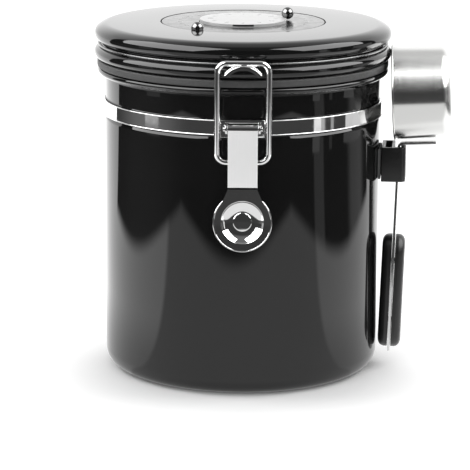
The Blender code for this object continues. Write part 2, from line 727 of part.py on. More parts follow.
def make_bracket():
    low_z = BAND_BOTTOM_Z - BRACKET_MARGIN
    high_z = BAND_TOP_Z + BRACKET_MARGIN
    bracket = curved_pad("latch_bracket", BRACKET_HALF_WIDTH, low_z, high_z, BRACKET_SHEET, -1)
    root_y = -(PAD_BACK_R + BRACKET_SHEET / 2)
    ear_middle = STRAP_HALF_WIDTH + FIT_GAP + EAR_SHEET / 2
    reach = EAR_REACH
    outline = [
        (root_y, LATCH_PIN_Z + reach),
        *arc(LATCH_PIN_Y, LATCH_PIN_Z, reach, 90, 270, 8),
        (root_y, LATCH_PIN_Z - reach),
    ]
    for side in (-1, 1):
        ear = plate("ear", [outline], EAR_SHEET / 2)
        place = Matrix.Translation((side * ear_middle, 0, 0)) @ across(0, 0)
        bracket = join(bracket, reshape(ear, place))
    span = BRACKET_HALF_WIDTH + CUT_OVERRUN
    hole = rod("pin_hole", LATCH_PIN_RADIUS + FIT_GAP,
               (-span, LATCH_PIN_Y, LATCH_PIN_Z), (span, LATCH_PIN_Y, LATCH_PIN_Z))
    keep(cut(bracket, hole), "latch_bracket", "chrome")

    pin_end = ear_middle + EAR_SHEET / 2 + FIT_GAP + PIN_HEAD
    pin = rod("latch_pin", LATCH_PIN_RADIUS,
              (-pin_end, LATCH_PIN_Y, LATCH_PIN_Z), (pin_end, LATCH_PIN_Y, LATCH_PIN_Z))
    keep(pin, "latch_pin", "plain_steel")


def lever_strap():
    """The strap with its top curled round the pin, drawn from the side."""
    inner = LATCH_PIN_RADIUS + FIT_GAP
    outer = CURL_RADIUS
    sweep = math.degrees(CURL_SWEEP)
    curl_steps = 14
    outline = [
        (STRAP_FRONT_Y, STRAP_END_Z),
        *arc(LATCH_PIN_Y, LATCH_PIN_Z, outer, 180, 180 - sweep, curl_steps),
        *arc(LATCH_PIN_Y, LATCH_PIN_Z, inner, 180 - sweep, 180, curl_steps),
        (STRAP_BACK_Y, STRAP_END_Z),
    ]
    return reshape(plate("latch_lever", [outline], STRAP_HALF_WIDTH), across(0, 0))


def lever_paddle():
    """The dished thumb paddle with its domed button, turned about its own axis."""
    rim_r = PADDLE_RADIUS - PADDLE_RIM
    dish_start = BUTTON_RADIUS + PADDLE_RIM
    front = [(0, BUTTON_HEIGHT - PADDLE_DISH)]
    for turn in (math.radians(30), math.radians(55), math.radians(78)):
        front.append((BUTTON_RADIUS * math.sin(turn), BUTTON_HEIGHT * math.cos(turn) - PADDLE_DISH))
    front.append((dish_start, -PADDLE_DISH))
    for share in (1 / 3, 2 / 3, 1):
        front.append((dish_start + (rim_r - dish_start) * share, -PADDLE_DISH * (1 - share ** 2)))
    front += [(PADDLE_RADIUS - PADDLE_RIM / 2, PADDLE_RIM / 2), (PADDLE_RADIUS, 0)]
    back = [(r, z - STRAP_SHEET) for r, z in reversed(front)]
    return turned("paddle", front + back, CUP_STEPS)


def make_lever():
    lever = lever_strap()
    half = STRAP_SHEET / 2
    pose = (Matrix.Translation((0, STRAP_FRONT_Y - PADDLE_SET_BACK, PADDLE_CENTRE_Z))
            @ Matrix.Rotation(REAR_TURN - PADDLE_TILT, 4, "X"))
    drop = STRAP_END_Z - PADDLE_CENTRE_Z
    touch = math.degrees(math.acos((STRAP_HALF_WIDTH + NECK_FLARE) / PADDLE_RADIUS))
    reach = PADDLE_RADIUS - PADDLE_RIM
    neck_outline = [
        (-STRAP_HALF_WIDTH, drop + STRAP_SHEET),
        *arc(0, 0, reach, 180 - touch, 180 - touch + NECK_BITE, 1),
        *arc(0, 0, reach, touch - NECK_BITE, touch, 1),
        (STRAP_HALF_WIDTH, drop + STRAP_SHEET),
    ]
    neck = plate("neck", [neck_outline], half)
    neck = reshape(neck, Matrix.Translation((0, STRAP_FRONT_Y + half, PADDLE_CENTRE_Z))
                   @ Matrix.Rotation(REAR_TURN, 4, "X"))
    dish = reshape(lever_paddle(), pose)
    clear = rod("dish_clear", reach - PADDLE_RIM,
                (0, STRAP_FRONT_Y - CUT_OVERRUN, PADDLE_CENTRE_Z),
                (0, STRAP_BACK_Y + CUT_OVERRUN, PADDLE_CENTRE_Z), CUP_STEPS)
    neck = cut(neck, clear)
    lever = join(lever, neck, dish)

    lug_hole = LOOP_WIRE_RADIUS + FIT_GAP
    lug_outline = [
        (STRAP_BACK_Y - half, LOOP_FOOT_Z + LUG_REACH),
        (STRAP_BACK_Y - half, LOOP_FOOT_Z - LUG_REACH),
        *arc(LOOP_FOOT_Y, LOOP_FOOT_Z, LUG_REACH, -90, 90, 8),
    ]
    lug_middle = STRAP_HALF_WIDTH - EAR_SHEET / 2
    for side in (-1, 1):
        lug = plate("lug", [lug_outline], EAR_SHEET / 2)
        place = Matrix.Translation((side * lug_middle, 0, 0)) @ across(0, 0)
        lever = join(lever, reshape(lug, place))
    span = STRAP_HALF_WIDTH + CUT_OVERRUN
    lever = cut(lever, rod("loop_hole", lug_hole, (-span, LOOP_FOOT_Y, LOOP_FOOT_Z),
                           (span, LOOP_FOOT_Y, LOOP_FOOT_Z)))
    set_origin(keep(lever, "latch_lever", "chrome"), (0, LATCH_PIN_Y, LATCH_PIN_Z))


def make_loop():
    head = Vector((0, LOOP_HEAD_Y, LOOP_HEAD_Z))
    foot = Vector((0, LOOP_FOOT_Y, LOOP_FOOT_Z))
    length = (head - foot).length
    up = (head - foot).normalized()
    inset = LOOP_HALF_WIDTH - LOOP_CORNER
    flat = (arc(inset, length - LOOP_CORNER, LOOP_CORNER, 0, 90)
            + arc(-inset, length - LOOP_CORNER, LOOP_CORNER, 90, 180)
            + arc(-inset, LOOP_CORNER, LOOP_CORNER, 180, 270)
            + arc(inset, LOOP_CORNER, LOOP_CORNER, 270, 360))
    curve = bpy.data.curves.new("latch_loop", "CURVE")
    curve.dimensions = "3D"
    curve.bevel_depth = LOOP_WIRE_RADIUS
    curve.bevel_resolution = 2
    spline = curve.splines.new("POLY")
    spline.points.add(len(flat) - 1)
    for point, (x, along) in zip(spline.points, flat):
        place = foot + up * along
        point.co = (x, place.y, place.z, 1)
    spline.use_cyclic_u = True
    thing = bpy.data.objects.new("latch_loop", curve)
    bpy.context.scene.collection.objects.link(thing)
    set_origin(keep(apply_all(thing), "latch_loop", "chrome"), foot)


def make_hook():
    """An arched saddle: a ridged section, drawn in (y, height), swept across the front."""
    crown_z = HOOK_CROWN_Z
    lip_back = LOOP_HEAD_Y - LOOP_WIRE_RADIUS - HOOK_POCKET_PLAY
    lip_front = lip_back - HOOK_LIP_SHEET
    back = -(SKIRT_OUTER_R + FIT_GAP)
    ridge = back - HOOK_LIP_SHEET
    section = [
        (lip_front, -HOOK_SHEET), (lip_front, HOOK_LIP_HEIGHT), (lip_back, HOOK_LIP_HEIGHT),
        (lip_back, 0), (ridge, 0), (ridge, HOOK_LIP_HEIGHT), (back, HOOK_LIP_HEIGHT),
        (back, -HOOK_SHEET),
    ]
    radius = (HOOK_HALF_WIDTH ** 2 + HOOK_ARCH_RISE ** 2) / (2 * HOOK_ARCH_RISE)
    half = math.asin(HOOK_HALF_WIDTH / radius)
    rings = []
    for i in range(HOOK_STEPS + 1):
        turn = half * (2 * i / HOOK_STEPS - 1)
        rings.append([((radius + h) * math.sin(turn), y, crown_z + (radius + h) * math.cos(turn) - radius)
                      for y, h in section])
    root_back = -(RING_CENTRE_R + RING_WIRE_RADIUS + FIT_GAP)
    root = box("root", (-HOOK_ROOT_HALF_WIDTH, back - HOOK_ROOT_OVERLAP, crown_z - HOOK_ROOT_RISE),
               (HOOK_ROOT_HALF_WIDTH, root_back, crown_z + HOOK_ROOT_RISE))
    hook = join(lofted("lid_hook", rings), root)
    set_origin(keep(hook, "lid_hook", "plain_steel"), (0, HINGE_Y, HINGE_Z))


def knuckle(name, low_x, high_x):
    outer = HINGE_PIN_RADIUS + FIT_GAP + KNUCKLE_WALL
    return rod(name, outer, (low_x, HINGE_Y, HINGE_Z), (high_x, HINGE_Y, HINGE_Z), PIN_STEPS)


def make_hinge():
    knuckle_r = HINGE_PIN_RADIUS + FIT_GAP + KNUCKLE_WALL
    split = LID_KNUCKLE_HALF_WIDTH + FIT_GAP
    pad_back = PAD_BACK_R
    leaf_y = SKIRT_OUTER_R + LEAF_OUTER_SET
    low_z = BAND_BOTTOM_Z - LEAF_MARGIN
    pad_top = BAND_TOP_Z + LEAF_MARGIN
    bend_z = pad_top + LEAF_BEND_RISE
    half = LEAF_SHEET / 2
    riser = plate("riser", [[
        (pad_back, pad_top - LEAF_SHEET), (pad_back + LEAF_SHEET, pad_top - LEAF_SHEET),
        (pad_back + LEAF_SHEET, pad_top), (leaf_y + LEAF_SHEET, bend_z),
        (leaf_y + LEAF_SHEET, HINGE_Z), (leaf_y, HINGE_Z), (leaf_y, bend_z),
        (pad_back, pad_top),
    ]], HINGE_HALF_WIDTH)
    riser = reshape(riser, across(0, 0))
    leaf = curved_pad("hinge_leaf_body", HINGE_HALF_WIDTH, low_z, pad_top, LEAF_SHEET, 1)
    leaf = join(leaf, riser)
    leaf = join(leaf, knuckle("left", -HINGE_HALF_WIDTH, -split), knuckle("right", split, HINGE_HALF_WIDTH))
    gap_low = HINGE_Z - knuckle_r - FIT_GAP
    leaf = cut(leaf, box("knuckle_gap", (-split, pad_back, gap_low),
                         (split, HINGE_Y + knuckle_r + CUT_OVERRUN, HINGE_Z + knuckle_r + CUT_OVERRUN)))
    span = HINGE_HALF_WIDTH + CUT_OVERRUN
    bore = HINGE_PIN_RADIUS + FIT_GAP
    leaf = cut(leaf, rod("bore", bore, (-span, HINGE_Y, HINGE_Z), (span, HINGE_Y, HINGE_Z)))
    keep(leaf, "hinge_leaf_body", "plain_steel")

    tab_back = RING_CENTRE_R + RING_WIRE_RADIUS + FIT_GAP
    tab_top = HINGE_Z + knuckle_r + half / 2
    tab = box("tab", (-LID_KNUCKLE_HALF_WIDTH, tab_back, tab_top - LEAF_SHEET),
              (LID_KNUCKLE_HALF_WIDTH, HINGE_Y, tab_top))
    lid_leaf = knuckle("hinge_leaf_lid", -LID_KNUCKLE_HALF_WIDTH, LID_KNUCKLE_HALF_WIDTH)
    lid_leaf = join(lid_leaf, tab)
    lid_leaf = cut(lid_leaf, rod("bore", bore, (-span, HINGE_Y, HINGE_Z), (span, HINGE_Y, HINGE_Z)))
    set_origin(keep(lid_leaf, "hinge_leaf_lid", "plain_steel"), (0, HINGE_Y, HINGE_Z))

    pin_end = HINGE_HALF_WIDTH + PIN_HEAD
    pin = rod("hinge_pin", HINGE_PIN_RADIUS, (-pin_end, HINGE_Y, HINGE_Z), (pin_end, HINGE_Y, HINGE_Z))
    keep(pin, "hinge_pin", "plain_steel")


def make_cup():
    """The cup, turned about its own axis and laid on its side with the mouth to the can."""
    end_r = CUP_RADIUS - CUP_TAPER
    profile = [
        (0, CUP_LENGTH),
        *arc(end_r - CUP_CORNER, CUP_LENGTH - CUP_CORNER, CUP_CORNER, 90, 0),
        (CUP_RADIUS, CUP_RIM_ROLL * 2),
        (CUP_RADIUS + CUP_RIM_ROLL, CUP_RIM_ROLL),
        (CUP_RADIUS, 0),
    ]
    cup = turned("scoop_cup", profile, CUP_STEPS, sheet=CUP_WALL)
    pose = (scoop_frame() @ Matrix.Translation((CUP_MOUTH_R, 0, CUP_CENTRE_Z))
            @ Matrix.Rotation(REAR_TURN - CUP_RISE, 4, "Y"))
    cup = reshape(cup, pose)
    set_origin(keep(cup, "scoop_cup", "brushed_steel"), scoop_origin())


def scoop_origin():
    return scoop_frame() @ Vector((STRIP_TOP_R, 0, STRIP_TOP_Z))


def strip_pose():
    """The handle's frame: its bend at the origin, its length down local Z."""
    return (scoop_frame() @ Matrix.Translation((STRIP_TOP_R, 0, STRIP_TOP_Z))
            @ Matrix.Rotation(STRIP_LEAN, 4, "Y"))


def handle_outline():
    """The handle's face view, drawn in (width, length), narrow above and wide in the grip."""
    grip_top = STRIP_LENGTH - GRIP_END_MARGIN - GRIP_LENGTH
    foot = STRIP_FOOT_HALF_WIDTH
    return [
        (-STRIP_HALF_WIDTH, -BEND_RADIUS), (-STRIP_HALF_WIDTH, -grip_top),
        (-foot, -(grip_top + foot)), *arc(0, -(STRIP_LENGTH - foot), foot, 180, 360, 8),
        (foot, -(grip_top + foot)), (STRIP_HALF_WIDTH, -grip_top),
        (STRIP_HALF_WIDTH, -BEND_RADIUS),
    ]


def face_on():
    """Turn a plate drawn in (width, length) to face away from the can."""
    return Matrix(((0, 0, 1, 0), (1, 0, 0, 0), (0, 1, 0, 0), (0, 0, 0, 1)))


def rivet_places():
    middle = STRIP_LENGTH - GRIP_END_MARGIN - GRIP_LENGTH / 2
    return [-(middle - RIVET_SPACING / 2), -(middle + RIVET_SPACING / 2)]


def rivet_shafts(name, radius, half_length):
    return [rod(name, radius, (-half_length, 0, z), (half_length, 0, z)) for z in rivet_places()]


def make_handle():
    half = STRIP_SHEET / 2
    strip = plate("scoop_handle", [handle_outline()], half)
    strip = reshape(strip, face_on())
    strip = cut(strip, *rivet_shafts("rivet_hole", RIVET_RADIUS + FIT_GAP, STRIP_SHEET + CUT_OVERRUN))
    strip = reshape(strip, strip_pose())
    tilt = CUP_RISE + STRIP_LEAN
    sweep = 90 - math.degrees(tilt)
    outer, inner = BEND_RADIUS + half, BEND_RADIUS - half
    bend_x = BEND_RADIUS
    start = 180
    end = 180 - sweep
    along = Vector((math.cos(tilt), math.sin(tilt)))
    outer_end = arc(bend_x, -BEND_RADIUS, outer, start, end)
    inner_end = arc(bend_x, -BEND_RADIUS, inner, end, start)
    far_out = (outer_end[-1][0] + along.x * TANG_LENGTH, outer_end[-1][1] + along.y * TANG_LENGTH)
    far_in = (inner_end[0][0] + along.x * TANG_LENGTH, inner_end[0][1] + along.y * TANG_LENGTH)
    outline = outer_end + [far_out, far_in] + inner_end
    overlap = STRIP_SHEET
    outline += [(half, -BEND_RADIUS - overlap), (-half, -BEND_RADIUS - overlap)]
    tang = plate("tang", [outline], STRIP_HALF_WIDTH)
    upright = Matrix(((1, 0, 0, 0), (0, 0, -1, 0), (0, 1, 0, 0), (0, 0, 0, 1)))
    tang = reshape(tang, strip_pose() @ upright)
    handle = join(strip, tang)
    set_origin(keep(handle, "scoop_handle", "plain_steel"), scoop_origin())


def grip_outline(inset):
    top = STRIP_LENGTH - GRIP_END_MARGIN - GRIP_LENGTH
    bottom = STRIP_LENGTH - GRIP_END_MARGIN
    wide, narrow = GRIP_HALF_WIDTH, GRIP_TOP_HALF_WIDTH
    return (arc(0, -(bottom - wide), wide - inset, 180, 360, 8)
            + arc(0, -(top + narrow), narrow - inset, 0, 180, 8))


def make_grips():
    """Two pillowed scales, flat where they meet the strip."""
    face = STRIP_SHEET / 2 + FIT_GAP
    layers = [[(x, y, face + GRIP_THICKNESS * rise) for x, y in grip_outline(GRIP_EDGE_INSET * inset)]
              for rise, inset in GRIP_CROWN_SHARES]
    for name, turn in (("grip_inner", math.pi), ("grip_outer", 0)):
        scale = reshape(lofted(name, layers), Matrix.Rotation(turn, 4, "Z") @ face_on())
        holes = rivet_shafts("rivet_hole", RIVET_RADIUS + FIT_GAP, GRIP_THICKNESS * 2)
        scale = reshape(cut(scale, *holes), strip_pose())
        set_origin(keep(scale, name, "black_plastic"), scoop_origin())
    half = STRIP_SHEET / 2 + FIT_GAP + GRIP_THICKNESS - RIVET_HEAD_SINK
    for name, rivet in zip(("grip_rivet_upper", "grip_rivet_lower"),
                           rivet_shafts("grip_rivet", RIVET_RADIUS, half)):
        set_origin(keep(reshape(rivet, strip_pose()), name, "plain_steel"), scoop_origin())


def strip_r_at(z):
    return STRIP_TOP_R + (z - STRIP_TOP_Z) * math.tan(STRIP_LEAN)


def make_clip():
    """The clip in plan, drawn in (distance from the can's axis, along the slot)."""
    pad_front = CAN_RADIUS + FIT_GAP + PAD_THICKNESS
    back = pad_front + FIT_GAP
    bottom_z = CLIP_TOP_Z - CLIP_HEIGHT
    half_slot = STRIP_SHEET / 2 + CLIP_SLOT_PLAY + math.tan(STRIP_LEAN) * CLIP_HEIGHT / 2
    slot_middle = strip_r_at(CLIP_TOP_Z - CLIP_HEIGHT / 2)
    slot_in, slot_out = slot_middle - half_slot, slot_middle + half_slot
    slot_end = -(STRIP_HALF_WIDTH + LOOSE_GAP)
    wide, corner = CLIP_HALF_WIDTH, CLIP_CORNER
    outer = slot_out + CLIP_FRONT_WALL
    outline = [
        (back, -wide), (outer - corner, -wide), (outer, -wide + corner),
        (outer, wide - corner / 2), (outer - corner / 2, wide),
        (slot_out - CLIP_SNAP, wide), (slot_out - CLIP_SNAP, wide - CLIP_SNAP),
        (slot_out, wide - CLIP_SNAP * 2), (slot_out, slot_end), (slot_in, slot_end),
        (slot_in, wide), (back, wide),
    ]
    pocket = [
        (back + CLIP_WALL, -wide + CLIP_WALL), (slot_in - CLIP_RIB, -wide + CLIP_WALL),
        (slot_in - CLIP_RIB, wide - CLIP_WALL), (back + CLIP_WALL, wide - CLIP_WALL),
    ]
    clip = plate("scoop_clip", [outline, pocket], CLIP_HEIGHT / 2)
    clip = reshape(clip, scoop_frame() @ Matrix.Translation((0, 0, CLIP_TOP_Z - CLIP_HEIGHT / 2)))
    clip = cut(clip, rod("can_core", back, (0, 0, bottom_z - CUT_OVERRUN),
                         (0, 0, CLIP_TOP_Z + CUT_OVERRUN), 2 * CAN_STEPS))
    keep(clip, "scoop_clip", "black_plastic")

    pad_half = wide - PAD_MARGIN
    pad = box("clip_pad", (CAN_RADIUS - CUT_OVERRUN, -pad_half, bottom_z + PAD_MARGIN),
              (pad_front, pad_half, CLIP_TOP_Z - PAD_MARGIN))
    pad = reshape(pad, scoop_frame())
    inner = rod("pad_core", CAN_RADIUS + FIT_GAP, (0, 0, bottom_z), (0, 0, CLIP_TOP_Z), 2 * CAN_STEPS)
    keep(cut(pad, inner), "clip_pad", "adhesive")


def build():
    clear_scene()
    make_can()
    make_band()
    make_lid_cover()
    make_ring_wire()
    make_gasket()
    make_liner()
    make_dial()
    make_valve()
    make_bracket()
    make_lever()
    make_loop()
    make_hook()
    make_hinge()
    make_cup()
    make_handle()
    make_grips()
    make_clip()


build()
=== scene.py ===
"""The looks of a coffee canister: fine shapes, finishes, floor, lamps and camera.

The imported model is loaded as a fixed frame, in metres, +Z up. Each operator makes one piece,
or a group of like pieces, over the solids that it stands for. The latch is at -Y.
"""

import json
import math

import bmesh
import bpy
from bpy.props import FloatProperty, FloatVectorProperty, IntProperty, PointerProperty
from mathutils import Matrix, Vector

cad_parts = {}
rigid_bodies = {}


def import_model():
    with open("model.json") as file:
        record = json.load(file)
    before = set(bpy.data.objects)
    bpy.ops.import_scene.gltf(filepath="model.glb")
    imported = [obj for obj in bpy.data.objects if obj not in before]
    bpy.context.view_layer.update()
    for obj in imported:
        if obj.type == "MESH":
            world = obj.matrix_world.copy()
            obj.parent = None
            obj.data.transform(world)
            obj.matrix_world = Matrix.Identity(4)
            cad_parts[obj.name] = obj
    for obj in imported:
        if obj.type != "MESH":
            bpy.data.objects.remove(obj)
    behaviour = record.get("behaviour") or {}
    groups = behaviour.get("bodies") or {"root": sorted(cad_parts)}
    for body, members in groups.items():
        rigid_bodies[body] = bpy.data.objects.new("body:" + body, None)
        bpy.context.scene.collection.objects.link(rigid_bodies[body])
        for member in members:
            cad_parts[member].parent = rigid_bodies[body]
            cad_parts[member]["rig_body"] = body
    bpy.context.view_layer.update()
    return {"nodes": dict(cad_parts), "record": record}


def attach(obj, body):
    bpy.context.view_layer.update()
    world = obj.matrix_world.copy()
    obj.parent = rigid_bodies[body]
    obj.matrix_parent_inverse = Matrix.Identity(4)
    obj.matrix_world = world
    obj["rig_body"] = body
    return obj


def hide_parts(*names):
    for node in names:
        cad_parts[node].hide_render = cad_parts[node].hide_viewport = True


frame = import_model()

bl_info = {
    "name": "Coffee canister",
    "version": (1, 0, 0),
    "blender": (4, 5, 0),
    "location": "3D View > Sidebar > Canister",
    "description": "Dresses the packed canister for its picture",
    "category": "Object",
}

# Points nearer than the seam are one point; edges that turn by more than the second look sharp
SEAM = 0.000002
SHARP = math.radians(35)
# Faces of a CAD copy that turn by less than this are joined into one
FLAT = math.radians(1)
# Edges of plates and of CAD copies are softened where they turn by more degrees than these
PLATE_LIMIT, COPY_LIMIT = 40, 32
EDGE_SEGMENTS = 3
# The middle of a noise's range
NOISE_LOW, NOISE_HIGH = 0.35, 0.65
# How much finer the brush marks are across than along
BRUSH_STRETCH = 60
DAYS, MONTHS = 31, 12
# Degrees at which the arcs of the button's edge, the paddle's rim and the cup's rim start
BUTTON_START, RIM_START, CUP_RIM_START = 85, 150, 60
# Degrees between the points where the lever's neck dips under the paddle's rim
NECK_TUCK = 2
# Turns a plate's own plane into the YZ plane
ACROSS = Matrix(((0, 0, 1, 0), (1, 0, 0, 0), (0, 1, 0, 0), (0, 0, 0, 1)))
NODE_SLOTS = {part["node"]: part["material_slot"] for part in frame["record"]["subparts"]}
TREES = {}
FINISHES = {}


# Settings

def length(name, value, description=""):
    return FloatProperty(name=name, description=description, default=value, unit="LENGTH",
                         precision=5)


def angle(name, value, description=""):
    return FloatProperty(name=name, description=description, default=math.radians(value),
                         subtype="ANGLE")


def count(name, value, description=""):
    return IntProperty(name=name, description=description, default=value, min=3)


def number(name, value, description):
    return FloatProperty(name=name, description=description, default=value)


def spot(name, value):
    return FloatVectorProperty(name=name, default=value, subtype="TRANSLATION")


class CanisterCan(bpy.types.PropertyGroup):
    steps: count("Facets round", 192, "Facets round the can, lid and band")
    arc_steps: count("Facets per arc", 10, "Facets along each rounding of a profile")
    radius: length("Radius", 0.0584, "Outside radius of the can")
    wall: length("Wall", 0.0008)
    floor: length("Floor", 0.0010)
    base_rounding: length("Base rounding", 0.0078)
    foot_radius: length("Foot radius", 0.0462, "Inner radius of the ring that it stands on")
    foot_rise: length("Foot rise", 0.0004, "Rise of the panel inside that ring")
    neck_top: length("Neck top", 0.1253)
    waist_z: length("Waist height", 0.1094, "Where the can is drawn in most, under the band")
    waist_round: length("Waist rounding", 0.0020)
    waist_turn: angle("Waist turn", 21, "How far the wall turns in at the waist")
    waist_slope: length("Waist slope", 0.0013, "Height of the straight slope above the rounding")
    waist_rise: length("Waist rise", 0.0021, "Height of the slope back out, behind the band")
    lip_radius: length("Lip radius", 0.0615)
    lip_roll: length("Lip roll", 0.0012)
    lip_top: length("Lip top", 0.1292)
    lip_turn: angle("Lip turn", 40, "How far the roll goes under the lip")


class CanisterBand(bpy.types.PropertyGroup):
    radius: length("Radius", 0.0594)
    sheet: length("Sheet", 0.0007)
    bottom: length("Bottom", 0.1097)
    height: length("Height", 0.0063)
    bead: length("Edge bead", 0.0002, "Radius of the rolled edges")


class CanisterLid(bpy.types.PropertyGroup):
    sheet: length("Sheet", 0.0007)
    top_z: length("Top", 0.1480)
    well_radius: length("Well radius", 0.0349)
    well_depth: length("Well depth", 0.0038)
    well_rounding: length("Well rounding", 0.0001)
    vent_radius: length("Vent radius", 0.0100)
    crown: length("Crown", 0.0003, "How far the top falls from the well to its shoulder")
    shoulder: length("Shoulder", 0.0080, "Radius where the top turns into the bead")
    shoulder_end: angle("Shoulder end", 55)
    bead_radius: length("Top bead", 0.0033)
    bead_reach: length("Top bead reach", 0.0628)
    skirt_radius: length("Skirt bead", 0.00275)
    skirt_r: length("Skirt bead centre", 0.06015)
    skirt_z: length("Skirt bead height", 0.1357)
    groove_r: length("Groove floor", 0.0599)
    wire_radius: length("Wire", 0.0005)
    wire_r: length("Wire ring", 0.0609933)
    wire_z: length("Wire height", 0.1391484)


class CanisterSeal(bpy.types.PropertyGroup):
    radius: length("Radius", 0.0616)
    inner: length("Inner radius", 0.0560)
    top: length("Top", 0.13265)
    height: length("Height", 0.00315)
    rounding: length("Rounding", 0.0007)
    lip_drop: length("Lip drop", 0.0030)
    lip_width: length("Lip width", 0.0009)
    liner_sheet: length("Liner sheet", 0.0007)
    liner_gap: length("Liner gap", 0.0003)
    liner_rim: length("Liner rim", 0.0589)
    liner_step: length("Liner step", 0.0552)
    liner_drop: length("Liner drop", 0.0018)
    liner_bore: length("Liner bore", 0.0123)


class CanisterDial(bpy.types.PropertyGroup):
    steps: count("Facets round", 128)
    top_z: length("Top", 0.1479)
    bottom_z: length("Bottom", 0.1460)
    radius: length("Radius", 0.0344)
    month_radius: length("Month disc", 0.0183)
    month_rise: length("Month rise", 0.0012)
    gap: length("Gap", 0.0003)
    rounding: length("Rounding", 0.0001)
    knob: length("Knob", 0.0026)
    day_knob_r: length("Day knob place", 0.0315)
    day_knob_turn: angle("Day knob turn", -127)
    day_knob_rise: length("Day knob rise", 0.0007)
    month_knob_r: length("Month knob place", 0.0195)
    month_knob_turn: angle("Month knob turn", 15)
    month_knob_rise: length("Month knob rise", 0.0017)
    emboss: length("Emboss", 0.00006, "Height of the numbers")
    day_text: length("Day numbers", 0.0030)
    month_text: length("Month numbers", 0.0034)
    day_circle: length("Day circle", 0.0266)
    month_circle: length("Month circle", 0.0136)
    # The dark band of painted shade on the month disc's front edge: its half width and height
    shade_half_width: length("Mark half width", 0.0044)
    shade_height: length("Mark height", 0.0008)


class CanisterLatch(bpy.types.PropertyGroup):
    steps: count("Facets round", 96)
    pin_radius: length("Pin", 0.0011)
    pin_y: length("Pin place", -0.0635)
    pin_z: length("Pin height", 0.1132)
    pin_end: length("Pin reach", 0.0080)
    sheet: length("Sheet", 0.0009)
    half_width: length("Strap half width", 0.0060)
    curl: length("Curl radius", 0.0023)
    curl_sweep: angle("Curl sweep", 290)
    end_z: length("Strap end", 0.0888)
    strap_z: length("Strap top", 0.1130, "Height where the satin strap meets its polished curl")
    edge: length("Edge rounding", 0.00018)
    paddle: length("Paddle radius", 0.0120)
    paddle_z: length("Paddle height", 0.0753)
    paddle_tilt: angle("Paddle tilt", 5)
    paddle_set_back: length("Paddle set back", 0.0002)
    rim: length("Rim", 0.0006)
    brim_drop: length("Brim drop", 0.00015, "How far the flat brim lies under the rim")
    bowl: length("Bowl radius", 0.0086)
    bowl_foot: length("Bowl foot", 0.0042)
    bowl_low: angle("Bowl slope at its foot", 8)
    bowl_high: angle("Bowl slope at its edge", 45)
    bowl_edge: length("Bowl edge rounding", 0.0004)
    button: length("Button radius", 0.0039)
    button_edge: length("Button rounding", 0.0005)
    button_height: length("Button height", 0.0007)
    button_crown: length("Button crown", 0.00025)
    flare: length("Neck flare", 0.0030)
    lug: length("Lug radius", 0.0023)
    lug_sheet: length("Lug sheet", 0.0008)
    wire: length("Loop wire", 0.0012)
    loop_half_width: length("Loop half width", 0.0104)
    loop_corner: length("Loop corner", 0.0037)
    foot: spot("Loop foot", (0, -0.0616, 0.0993))
    head: spot("Loop head", (0, -0.0657, 0.1401484))


class CanisterHook(bpy.types.PropertyGroup):
    half_width: length("Half width", 0.0068)
    rise: length("Arch rise", 0.0033)
    sheet: length("Sheet", 0.0008)
    lip_height: length("Lip height", 0.0009)
    lip_sheet: length("Lip sheet", 0.0010)
    play: length("Pocket play", 0.0010, "Room for the loop's bar in front")
    crown_z: length("Crown height", 0.1386484)
    root_half_width: length("Root half width", 0.0035)
    gap: length("Gap", 0.0003)
    steps: count("Facets across", 36)


class CanisterScoop(bpy.types.PropertyGroup):
    steps: count("Facets round", 128)
    azimuth: angle("Azimuth", -5)
    radius: length("Cup radius", 0.0200)
    taper: length("Taper", 0.0005)
    depth: length("Cup depth", 0.0246)
    wall: length("Wall", 0.0007)
    corner: length("Corner", 0.0042)
    rim: length("Rim roll", 0.0004)
    mouth_r: length("Mouth place", 0.0638)
    centre_z: length("Cup height", 0.1190)
    cup_rise: angle("Cup rise", 2.7)


class CanisterStudio(bpy.types.PropertyGroup):
    camera_place: spot("Camera place", (-0.002911, -1.07503, 0.29933))
    camera_pitch: angle("Camera pitch", 12.79)
    camera_roll: angle("Camera roll", 0.335)
    lens: number("Lens", 196.16, "Focal length in millimetres")
    sensor: number("Sensor", 36, "Its width in millimetres")
    floor_half: length("Floor half side", 3.0)
    table_tone: number("Table tone", 0.86, "Share of the light that the table gives back")
    sweep_near: length("Table front", 0.295, "Where the pale table ends in front, as gloss sees it")
    sweep_scallop: length("Table scallop", 0.14)
    sweep_soft: length("Table edge", 0.03, "Half width of its soft end")
    lobe_turn: angle("Scallop turn", 5, "How far the scallops are turned from the front")
    lobe_step: angle("Scallop step", 87, "Turn from one scallop to the next")
    front_turn: angle("Front room", 121.6, "How far to each side the dark front of the room goes")
    side_turn: angle("Side sheets", 59, "Where the table's brighter side sheets begin")
    middle_glow: number("Table glow", 0.88, "Brightness in front")
    left_glow: number("Left glow", 1.9, "Brightness at the left")
    right_glow: number("Right glow", 1.55, "Brightness at the right")
    wall_glow: number("Wall glow", 1.85, "Brightness behind")
    top_glow: number("Ceiling glow", 0.14, "Brightness overhead")
    back_glow: number("Ceiling behind", 0.80, "Brightness behind, high up")
    room_glow: number("Room glow", 0.05, "Brightness of the dark front")
    ambient_glow: number("Ambient glow", 1.05, "Brightness of the soft light all round")
    softbox_place: spot("Softbox place", (0.85, 0.15, 0.85))
    softbox_size: length("Softbox side", 0.5)
    softbox_glow: number("Softbox glow", 4.6, "Brightness of each softbox")
    aim_z: length("Aim height", 0.09, "Height that the softboxes are aimed at")


GROUPS = {
    "canister_can": CanisterCan,
    "canister_band": CanisterBand,
    "canister_lid": CanisterLid,
    "canister_seal": CanisterSeal,
    "canister_dial": CanisterDial,
    "canister_latch": CanisterLatch,
    "canister_hook": CanisterHook,
    "canister_scoop": CanisterScoop,
    "canister_studio": CanisterStudio,
}


# Node trees

def feed(socket, value):
    """Link an output into an input, or write a plain value there."""
    if isinstance(value, Term):
        value = value.socket
    if isinstance(value, bpy.types.NodeSocket):
        socket.id_data.links.new(value, socket)
    else:
        socket.default_value = value


